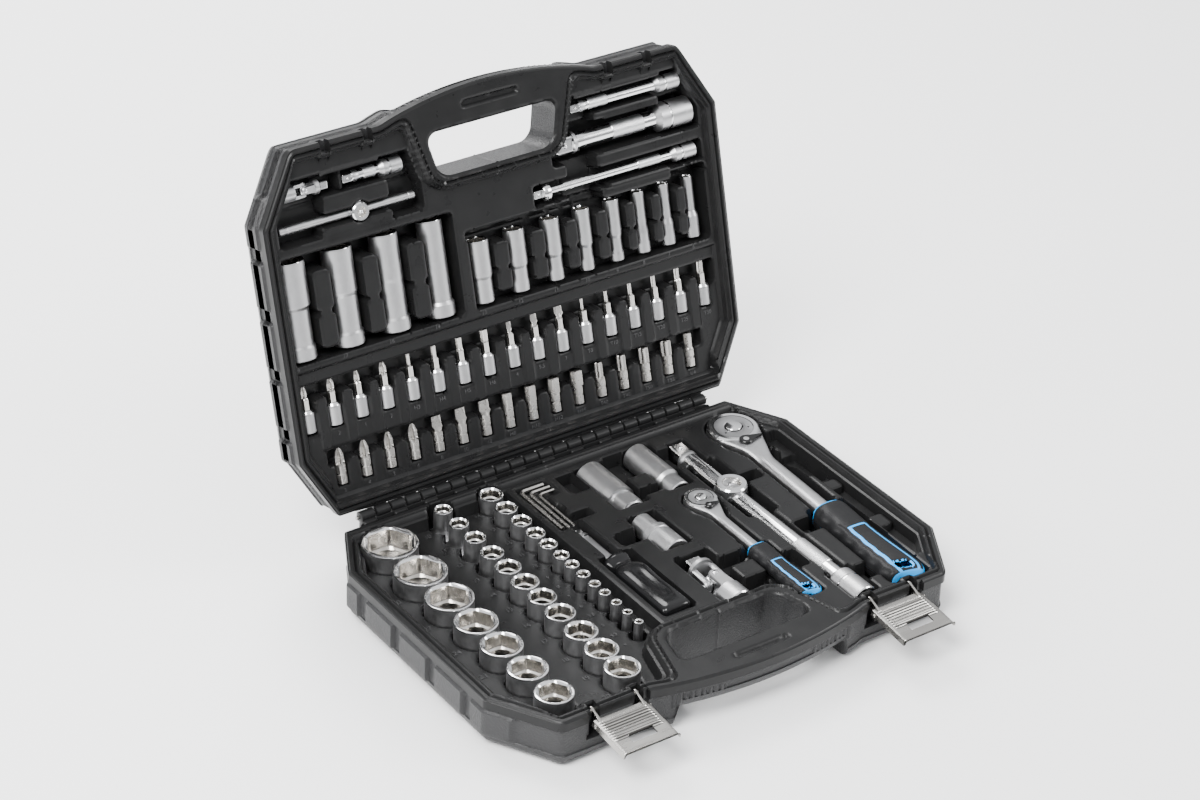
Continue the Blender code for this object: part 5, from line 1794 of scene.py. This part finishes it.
@dataclass(frozen=True)
class Latch:
    """One catch: two arms on a pin, and a ribbed plate turning on a bar."""

    side: str
    x: float
    pin: tuple[float, float] = (-132.0, 35.0)
    bar: tuple[float, float] = (-143.5, 30.0)
    width: float = 47.0
    length: float = 40.0
    tilt: float = math.radians(-6)

    def arm(self) -> Array:
        """Outline of an arm from the pin to the bar: two round ends and straight sides.

        Returns:
            Points in y and z.
        """
        (y0, z0), (y1, z1) = self.pin, self.bar
        along = math.atan2(z1 - z0, y1 - y0)
        a = np.linspace(-math.pi / 2, math.pi / 2, 14)
        far = np.stack([y1 + 3.0 * np.cos(along + a), z1 + 3.0 * np.sin(along + a)], -1)
        near = np.stack([y0 - 3.0 * np.cos(along + a), z0 - 3.0 * np.sin(along + a)], -1)
        return np.concatenate([far, near])

    def plate_shape(self) -> Shape:
        """The plate: a grid with a hole near its end, pressed ribs across it with painted shade in their valleys, and
        turned-up side flanges.

        Returns:
            The shape in its place.
        """
        rows, columns = 110, 48
        v = np.linspace(-3.0, self.length - 3.0, rows)[:, None] + np.zeros(columns)
        u = np.linspace(-self.width / 2, self.width / 2, columns) + np.zeros((rows, 1))
        across = self.width * 0.225
        hole = rectangle(-across, across, self.length - 19, self.length - 12, 1.5)
        d = hole(u, v)
        close = np.abs(d) < 0.5
        u = u + np.where(close, -d * (hole(u + 0.1, v) - hole(u - 0.1, v)) / 0.2, 0)
        v = v + np.where(close, -d * (hole(u, v + 0.1) - hole(u, v - 0.1)) / 0.2, 0)
        inner = np.clip((self.width / 2 - 3.5 - np.abs(u)) / 2.0, 0, 1)
        ribs = 1.0 * (0.5 - 0.5 * np.cos(v * 2 * math.pi / 2.5)) * inner * (v > 0.5) * (v < 22.5)
        flange = 3.0 * np.clip((np.abs(u) - self.width / 2 + 1.6) / 1.6, 0, 1) ** 2
        curl = 1.6 * np.clip((v - self.length + 5.5) / 2.5, 0, 1) ** 2
        rise = ribs - flange + curl
        cu, cv = (u[:-1, :-1] + u[1:, 1:]) / 2, (v[:-1, :-1] + v[1:, 1:]) / 2
        keep = hole(cu, cv) > 0
        top = np.stack([u, v, rise + 0.6], -1)
        bottom = np.stack([u, v, rise - 0.6], -1)
        # Painted shade: faces in the rib valleys take finish 1, the dark zinc, so that the grooves read darker.
        valley = (np.cos(cv * 2 * math.pi / 2.5) > 0.35) & (cv > 0.5) & (cv < 22.5)
        marks = (valley & (np.abs(cu) < self.width / 2 - 4.2)).astype(int)
        shape = sandwich(top, bottom, keep, marks, 0)
        c, s = math.cos(self.tilt), math.sin(self.tilt)
        axes = ((1.0, 0.0, 0.0), (0.0, -c, s), (0.0, s, c))
        return Shape().add(shape, Place((self.x, self.bar[0], self.bar[1] + 2.0), axes))

    def build(self) -> None:
        """Makes the link with its bar, and the plate."""
        link = Shape()
        for sign in (-1, 1):
            made = plate(self.arm(), 1.8, 0.35)
            made.points = [np.stack([p[:, 1] + self.x + sign * 18.5, p[:, 0], p[:, 2]], -1) for p in made.points]
            link.add(made)
            for y, z in (self.pin, self.bar):
                head = ball((self.x + sign * 19.6, y, z), 1.7, 0.7)
                link.add(head.marked(0))
        rod = closed_turn([(-24.0, 1.2), (-23.6, 1.6), (23.6, 1.6), (24.0, 1.2)], 0)
        link.add(rod, Place((self.x, *self.bar), TO_RIGHT))
        name = f"latch_{self.side}"
        make_piece(f"{name}_arms", link, [ZINC_PLATE.material()], f"{name}_link", [f"{name}_link"])
        # The plate's second finish is painted shade in its rib valleys.
        make_piece(f"{name}_plate", self.plate_shape(), [ZINC_PLATE.material(), ZINC_SHADOW.material()],
                   f"{name}_lever", [f"{name}_lever"])


# ---------------------------------------------------------------- filling the case


def chrome_tool(shape: Shape, place: Place, node: str) -> None:
    """Makes a chromed tool that stands for the node of its own body."""
    make_piece(f"{node}_detail", Shape().add(shape, place), steels(), node, [node])


def chrome_socket(shape: Shape, place: Place, name: str, body: str) -> None:
    """Makes a chromed socket that has no node and rides a case half."""
    make_piece(name, Shape().add(shape, place), steels(), body)


def build_columns() -> None:
    """The three columns of standing sockets in the base."""
    for size, y in zip(COLUMNS.sizes, COLUMNS.outer_y()):
        made = half_inch(size, COLUMNS.radius(size))
        chrome_tool(made.shape(), in_base(COLUMNS.x, y, 35.5), f"socket_{size}")
    for size, y, rim in zip(COLUMNS.middle_sizes, COLUMNS.middle_y, COLUMNS.middle_rims):
        made = half_inch(size, rim / 2)
        chrome_socket(made.shape(), in_base(COLUMNS.middle_x, y, 35.0), f"middle_socket_{size}", "base")
    for size, y, rim in zip(COLUMNS.inner_sizes, COLUMNS.inner_y, COLUMNS.inner_rims):
        made = quarter_inch(size, rim / 2, 33.0)
        name = f"quarter_socket_{size:g}".replace(".", "_")
        chrome_socket(made.shape(), in_base(COLUMNS.inner_x, y, 34.5), name, "base")


def bar_piece(bar: Bar, place: Place, body: str, node: str) -> None:
    """Makes a drive bar with its spring ball.

    Args:
        bar: The bar.
        place: Where it lies.
        body: The body it rides on.
        node: The node it stands for.
    """
    shape = Shape().add(bar.shape(), place).add(bar.ball(), place)
    make_piece(f"{node}_detail", shape, [*steels(), KNURLED.material()], body, [node])


def build_base_tools() -> None:
    """Everything that lies in the base's other pockets."""
    Ratchet("ratchet", 21, 18, 14.5, 11, 122, 229, (29, 34), 24, 5.67,
            in_base(158, 105, 1, leaning(math.radians(-2.1)))).build()
    Ratchet("small_ratchet", 13, 11, 8.6, 7, 70, 141, (18, 21), 12.5, 3.6,
            in_base(77, 38, 1, leaning(math.radians(-1)))).build()
    bar_piece(Bar("extension_250", 238, HALF_SQUARE, 16, 8.2, 11.5, 30, (158, 192), upright=True),
              in_base(108.5, 115, 12, TO_FRONT), "extension", "extension_250")
    collar = closed_turn([(-10.0, 9.6), (-9.4, 10.4), (9.4, 10.4), (10.0, 9.6)], [POLISHED, SATIN, POLISHED])
    head = Shape().add(collar, in_base(108.5, 41, 12, TO_FRONT))
    seat = closed_turn([(-11.0, 11.6), (-10.4, 12.4), (10.2, 12.4), (11.4, 11.4), (11.4, 7.6), (10.2, 7.0), (8.6, 6.6)],
                       [SATIN, SATIN, POLISHED, POLISHED, BORE, BORE])
    head.add(seat, in_base(108.5, 41, 12)).add(ball((0.0, 0.0, 8.6), 4.2, 0.5), in_base(108.5, 41, 12))
    tip = closed_turn([(-24, polygon(4, 10.8)), (-23, polygon(4, 12.4)), (-11, polygon(4, 12.4))], POLISHED)
    head.add(tip, in_base(108.5, 41, 12))
    make_piece("sliding_head_detail", head, steels(), "sliding_head", ["sliding_head"])
    hexagon = polygon(6, 22.0, 0.05)
    spark = Socket("spark_socket_21", 21, 61, ((0.0, 11.0), (1.0, hexagon), (15.0, hexagon), (15.6, 11.4),
                   (17.6, 11.4), (18.2, 13.4), (61, 13.5)), HALF_SQUARE, 1.8)
    chrome_tool(spark.shape(), in_base(32, 61, 14, TO_BACK), spark.name)
    spark = Socket("spark_socket_16", 16, 61, ((0.0, 9.6), (15.0, 9.6), (18.0, 11.2), (61, 11.2)), HALF_SQUARE, 1.8)
    chrome_tool(spark.shape(), in_base(77, 63, 11.7, TO_BACK), spark.name)
    adapter = Socket("bit_adapter", 8, 47, ((0.0, 12.0), (20.0, 12.0), (20.6, 11.3), (22.6, 11.3), (23.2, 12.0),
                     (28.0, 12.0), (30.5, 9.4), (47, 9.4)), HALF_SQUARE, 1.6)
    chrome_tool(adapter.shape(), in_base(27, -1, 12.5, TO_BACK), adapter.name)
    UniversalJoint("universal_joint", 12, HALF_SQUARE, 30, -32, in_base(28, -47, 12.5, TO_BACK)).build(
        ("universal_joint", "universal_joint_cross", "universal_joint_drive"))
    Spinner().build()
    build_hex_keys()


def build_lid_tools() -> None:
    """Everything clipped in the lid."""
    for (size, x), mouth in zip(LONG_X, (12.8, 11.8, 11.15, 9.85)):
        made = long_socket(f"long_socket_{size}", size, mouth, 12.0 if mouth > 11 else 11.4, 11.0, 75.5, 34)
        if mouth < 11:
            made.outside = ((0.0, 11.4), (9.8, 11.4), (12.5, mouth), (75.5, mouth))
        chrome_tool(made.shape(), in_lid(x, 18.5, 17.8, TO_FRONT), made.name)
    bars = ((Bar("extension_100", 100, QUARTER_SQUARE, 8, 4.0, 6.2, 20, (16, 34)), 73, -110.5, 11.2),
            (Bar("extension_125", 125, HALF_SQUARE, 15, 6.5, 11.2, 30, (52, 82)), 57.5, -83.5, 16.2),
            (Bar("driver_bar_150", 150, QUARTER_SQUARE, 8, 3.4, 6.2, 20, (96, 118), 7.0), 31.5, -53, 11.2))
    for bar, x, y, depth in bars:
        bar_piece(bar, in_lid(x, y, depth, TO_RIGHT), bar.name, bar.name)
    short = Bar("extension_50", 50, QUARTER_SQUARE, 8, 4.0, 6.2, 17, (17, 28))
    bar_piece(short, in_lid(-127, -106, 12.8, TO_RIGHT), "extension_50", "extension_50")
    rod = closed_turn([(0, 2.4), (0.6, 3.0), (5, 3.0), (5.4, 2.7), (6.6, 2.7), (7, 3.0), (108, 3.0), (108.4, 2.7),
                       (109.6, 2.7), (110, 3.0), (114.4, 3.0), (115, 2.4)], SATIN)
    chrome_tool(rod, in_lid(-184, -80, 12.5, TO_RIGHT), "t_bar")
    ring = closed_turn([(6.5, 6.0), (5.8, 7.2), (-5.8, 7.2), (-6.8, 6.3), (-6.8, 3.9), (-5.2, 3.5)],
                       [SATIN, SATIN, POLISHED, POLISHED, BORE])
    head = Shape().add(ring, in_lid(-117.5, -80, 12.5))
    square = polygon(4, QUARTER_SQUARE * 0.98, 0.08)
    head.add(closed_turn([(-14.0, square * 0.85), (-13.2, square), (-4, square)], POLISHED),
             in_lid(-117.5, -80, 12.5, TO_BACK))
    head.add(ball((0.0, 0.0, -5.4), 2.0), in_lid(-117.5, -80, 12.5))
    make_piece("t_bar_head_detail", head, steels(), "t_bar_head", ["t_bar_head"])
    UniversalJoint("small_joint", 6.2, QUARTER_SQUARE, 19.5, -19.5, in_lid(-159, -106, 12.8, TO_RIGHT)).build(
        ("small_joint", "small_joint_cross", "small_joint_drive"))


def build_lid_rows() -> None:
    """The rows of long quarter inch sockets, bit sockets and loose bits in the lid."""
    for size, x in zip(QUARTER_SIZES, QUARTER_X):
        mouth = max(size * 0.69, 5.9)
        made = long_socket(f"quarter_long_{size}", size, mouth, max(mouth - 0.9, 5.9), max(mouth - 0.9, 5.4),
                           49.5, 28 if size > 8 else 22, QUARTER_SQUARE)
        if size <= 8:
            made.outside = ((0.0, 5.9), (17.0, 5.9), (22.0, size * 0.5 + 1.2), (49.5, size * 0.5 + 1.2))
        chrome_socket(made.shape(), in_lid(x, 17.3, 14.0, TO_FRONT), made.name, "lid")
    kinds = [(Tip.CROSS, 4.5), (Tip.CROSS, 6), (Tip.CROSS, 4.5), (Tip.CROSS, 6), (Tip.HEX, 3), (Tip.HEX, 4),
             (Tip.HEX, 5), (Tip.HEX, 6), (Tip.SLOT, 4), (Tip.SLOT, 5.5), (Tip.SLOT, 7), (Tip.STAR, 2.4),
             (Tip.STAR, 2.8), (Tip.STAR, 3.3), (Tip.STAR, 3.9), (Tip.STAR, 4.5), (Tip.STAR, 5.6)]
    for i, ((kind, size), x) in enumerate(zip(kinds, BIT_SOCKET_X)):
        made = Bit(f"bit_socket_{i + 1}", kind, size, True, 36.0)
        chrome_socket(made.shape(), in_lid(x, 73.3, 12.5, TO_FRONT), made.name, "lid")
    kinds = [(Tip.CROSS, 7.6), (Tip.CROSS, 7.9), (Tip.CROSS, 7.6), (Tip.CROSS, 7.9), (Tip.SLOT, 8), (Tip.SLOT, 8.5),
             (Tip.SLOT, 8.8), (Tip.HEX, 7.8), (Tip.HEX, 8.6), (Tip.HEX, 9.2), (Tip.HEX, 9.8), (Tip.STAR, 6.8),
             (Tip.STAR, 7.9), (Tip.STAR, 8.9), (Tip.STAR, 9.6), (Tip.HEX, 6.35)]
    for i, ((kind, size), x) in enumerate(zip(kinds, LOOSE_BIT_X)):
        made = Bit(f"loose_bit_{i + 1}", kind, size, False, 27.5)
        shape = Shape().add(made.shape(), in_lid(x, 119.0, 10.5, TO_FRONT))
        make_piece(made.name, shape, [BIT_STEEL.material()] * 3, "lid")


def raised_number(text: str, x: float, y: float, level: float, size: float, body: str = "base") -> Shape:
    """A size number as raised plastic: text turned into a mesh, then moved to its place as points.

    Args:
        text: What it says.
        x: Its middle in x.
        y: Its middle in y.
        level: Its z, lid closed.
        size: Height of the text.
        body: base or lid.

    Returns:
        The shape.
    """
    curve = bpy.data.curves.new(f"number_{text}", "FONT")
    curve.body = text
    curve.size = size
    curve.extrude = 0.45
    curve.align_x = "CENTER"
    curve.align_y = "CENTER"
    holder = bpy.data.objects.new("number", curve)
    bpy.context.scene.collection.objects.link(holder)
    mesh = bpy.data.meshes.new_from_object(holder.evaluated_get(bpy.context.evaluated_depsgraph_get()))
    bpy.data.objects.remove(holder)
    bpy.data.curves.remove(curve)
    points = np.zeros(len(mesh.vertices) * 3)
    mesh.vertices.foreach_get("co", points)
    points = points.reshape(-1, 3)
    flip = 1.0 if body == "base" else -1.0
    points = np.stack([points[:, 0] + x, points[:, 1] * flip + y, level + points[:, 2] * flip], -1)
    mesh.calc_loop_triangles()
    faces = np.zeros(len(mesh.loop_triangles) * 3, int)
    mesh.loop_triangles.foreach_get("vertices", faces)
    bpy.data.meshes.remove(mesh)
    shape = Shape()
    faces = faces.reshape(-1, 3)
    shape.points, shape.count = [points if body == "base" else opened(points)], len(points)
    shape.faces = [faces]
    shape.marks = [np.zeros(len(faces), int)]
    return shape


def build_numbers() -> None:
    """The size numbers beside the sockets, one piece for each half."""
    base, lid = Shape(), Shape()
    low = PARTING - COLUMNS.field_depth
    for size, y in zip(COLUMNS.sizes, COLUMNS.outer_y()):
        base.add(raised_number(str(size), COLUMNS.x - COLUMNS.radius(size) - 6.0, y - 10.0, low, 6.5))
    for size, y in zip(COLUMNS.middle_sizes, COLUMNS.middle_y):
        base.add(raised_number(str(size), COLUMNS.middle_x - 18.5, y - 8.0, low, 6.0))
    for size, y in zip(COLUMNS.inner_sizes, COLUMNS.inner_y):
        base.add(raised_number(f"{size:g}", COLUMNS.inner_x - 15.0, y - 5.0, low, 5.0))
    for size, x in LONG_X:
        lid.add(raised_number(str(size), x - 11.0, 22.8, LID_PARTING + 6.0, 4.5, "lid"))
    for size, x in zip(QUARTER_SIZES, QUARTER_X):
        lid.add(raised_number(str(size), x - 6.0, 23.0, LID_PARTING + 6.0, 4.5, "lid"))
    words = ("1", "2", "1", "2", "H3", "H4", "H5", "H6", "4", "5.5", "7", "T8", "T10", "T15", "T20", "T25", "T30")
    for word, x in zip(words, BIT_SOCKET_X):
        lid.add(raised_number(word, x, 79.6, LID_PARTING + 8.5, 4.5, "lid"))
    words = ("3", "4", "3", "4", "8", "10", "12", "H8", "H10", "H12", "H14", "T40", "T45", "T50", "T55", "1/4")
    for word, x in zip(words, LOOSE_BIT_X):
        lid.add(raised_number(word, x, 124.6, LID_PARTING + 8.5, 4.5, "lid"))
    make_piece("numbers_base", base, [CASE_MARKS.material()], "base", sharp=20)
    make_piece("numbers_lid", lid, [CASE_MARKS.material()], "lid", sharp=20)


# ---------------------------------------------------------------- studio


def build_studio() -> None:
    """A pale floor, a soft surround that is brighter above, and four large lights."""
    a = np.linspace(0, 2 * math.pi, 97)[:-1]
    r = np.array([0.001, 600.0, 2500.0, 9000.0])[:, None]
    points = np.stack([r * np.cos(a), r * np.sin(a), np.zeros((4, 96)) - 0.6], -1)
    mesh = bpy.data.meshes.new("studio_floor")
    shape = Shape().grid(points, 0, wrap_v=True)
    mesh.from_pydata((shape.points[0] * MM).tolist(), [], shape.faces[0].tolist())
    mesh.materials.append(FLOOR_PAINT.material())
    floor = bpy.data.objects.new("studio_floor", mesh)
    bpy.context.scene.collection.objects.link(floor)
    world = bpy.context.scene.world or bpy.data.worlds.new("studio")
    bpy.context.scene.world = world
    world.use_nodes = True
    tree = world.node_tree
    backdrop = tree.nodes["Background"]
    backdrop.inputs["Color"].default_value = (0.97, 0.98, 1.0, 1)
    where = shader_node(tree, "ShaderNodeTexCoord").outputs["Generated"]
    split = shader_node(tree, "ShaderNodeSeparateXYZ", where)
    ramp = shader_node(tree, "ShaderNodeMapRange", split.outputs["Z"], "Value", From_Min=-0.05, From_Max=0.75,
                       To_Min=0.25, To_Max=1.4)
    tree.links.new(ramp.outputs["Result"], backdrop.inputs["Strength"])
    lights = (("key", (-1.3, -0.5, 1.9), 1.2, 88.0), ("fill", (1.7, -1.0, 1.3), 1.0, 32.0),
              ("back", (0.2, 1.7, 1.6), 1.5, 78.0), ("side", (-2.1, 0.5, 0.9), 0.9, 30.0))
    for name, where, size, power in lights:
        light = bpy.data.lights.new(f"studio_{name}", "AREA")
        light.shape = "DISK"
        light.size = size
        light.energy = power
        lamp = bpy.data.objects.new(light.name, light)
        bpy.context.scene.collection.objects.link(lamp)
        lamp.location = where
        z = np.array(where) - np.array([0.0, 0.04, 0.1])
        z /= np.linalg.norm(z)
        x = np.cross([0.0, 0.0, 1.0], z)
        x /= np.linalg.norm(x)
        lamp.matrix_world = Matrix([(*row, at) for row, at in zip(np.stack([x, np.cross(z, x), z], 1), where)]
                                   + [(0, 0, 0, 1)])


@dataclass(frozen=True)
class Camera:
    """Where the picture is taken from: angles in degrees, lengths in metres, the lens in millimetres."""

    azimuth: float = -36.08
    elevation: float = 31.83
    roll: float = 2.34
    distance: float = 2.415
    target: Point = (-0.00784, 0.05596, 0.14344)
    lens: float = 99.1

    def build(self) -> None:
        """Makes the camera, looking from behind its target along the turned back vector."""
        az, el, roll = (math.radians(v) for v in (self.azimuth, self.elevation, self.roll))
        right = np.array([math.cos(az), math.sin(az), 0.0])
        back = np.array([math.sin(az) * math.cos(el), -math.cos(az) * math.cos(el), math.sin(el)])
        up = np.cross(back, right)
        right, up = math.cos(roll) * right + math.sin(roll) * up, -math.sin(roll) * right + math.cos(roll) * up
        data = bpy.data.cameras.new("camera")
        data.lens = self.lens
        data.sensor_width = 36.0
        data.clip_end = 50.0
        camera = bpy.data.objects.new("camera", data)
        bpy.context.scene.collection.objects.link(camera)
        where = np.array(self.target) + back * self.distance
        camera.matrix_world = Matrix([(*row, at) for row, at in zip(np.stack([right, up, back], 1), where)]
                                     + [(0, 0, 0, 1)])
        bpy.context.scene.camera = camera


def finish_frame() -> None:
    """Gives every carried-over node its finish by the record's slot."""
    table = {"case_plastic": CASE_PLASTIC, "satin_chrome": SATIN_CHROME, "zinc_plate": ZINC_PLATE,
             "grip_rubber": GRIP_RUBBER, "black_plastic": BLACK_PLASTIC_AND_SHADE, "tool_steel": BIT_STEEL,
             "blue_accent": BLUE_ACCENT}
    for name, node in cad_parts.items():
        slots = [slot.material.name for slot in node.material_slots if slot.material]
        found = next((f for key, f in table.items() if any(key in s for s in slots)), SATIN_CHROME)
        node.data.materials.clear()
        node.data.materials.append(found.material())
        LOG.info("%s: %s", name, found.name)


def main() -> None:
    """Builds every piece, logging each one's face count, and leaves the scene ready."""
    logging.basicConfig(level=logging.INFO, format="%(name)s %(message)s")
    finish_frame()
    CaseHalf("case_base", "base_case", "base", 40.0, False, BASE_RIM,
             ((97, 149, 3.0), (100.8, 108.2, 11.0), (137.8, 145.2, 11.0)), 24.0, base_steps()).build()
    CaseHalf("case_lid", "lid_case", "lid", 38.0, True, LID_RIM,
             ((102, 110, 9.0), (138, 146, 9.0)), 15.0, lid_steps()).build()
    build_hinge()
    Latch("left", -123.0).build()
    Latch("right", 123.0).build()
    build_columns()
    build_base_tools()
    build_lid_tools()
    build_lid_rows()
    build_numbers()
    build_studio()
    Camera().build()


if __name__ == "__main__":
    main()
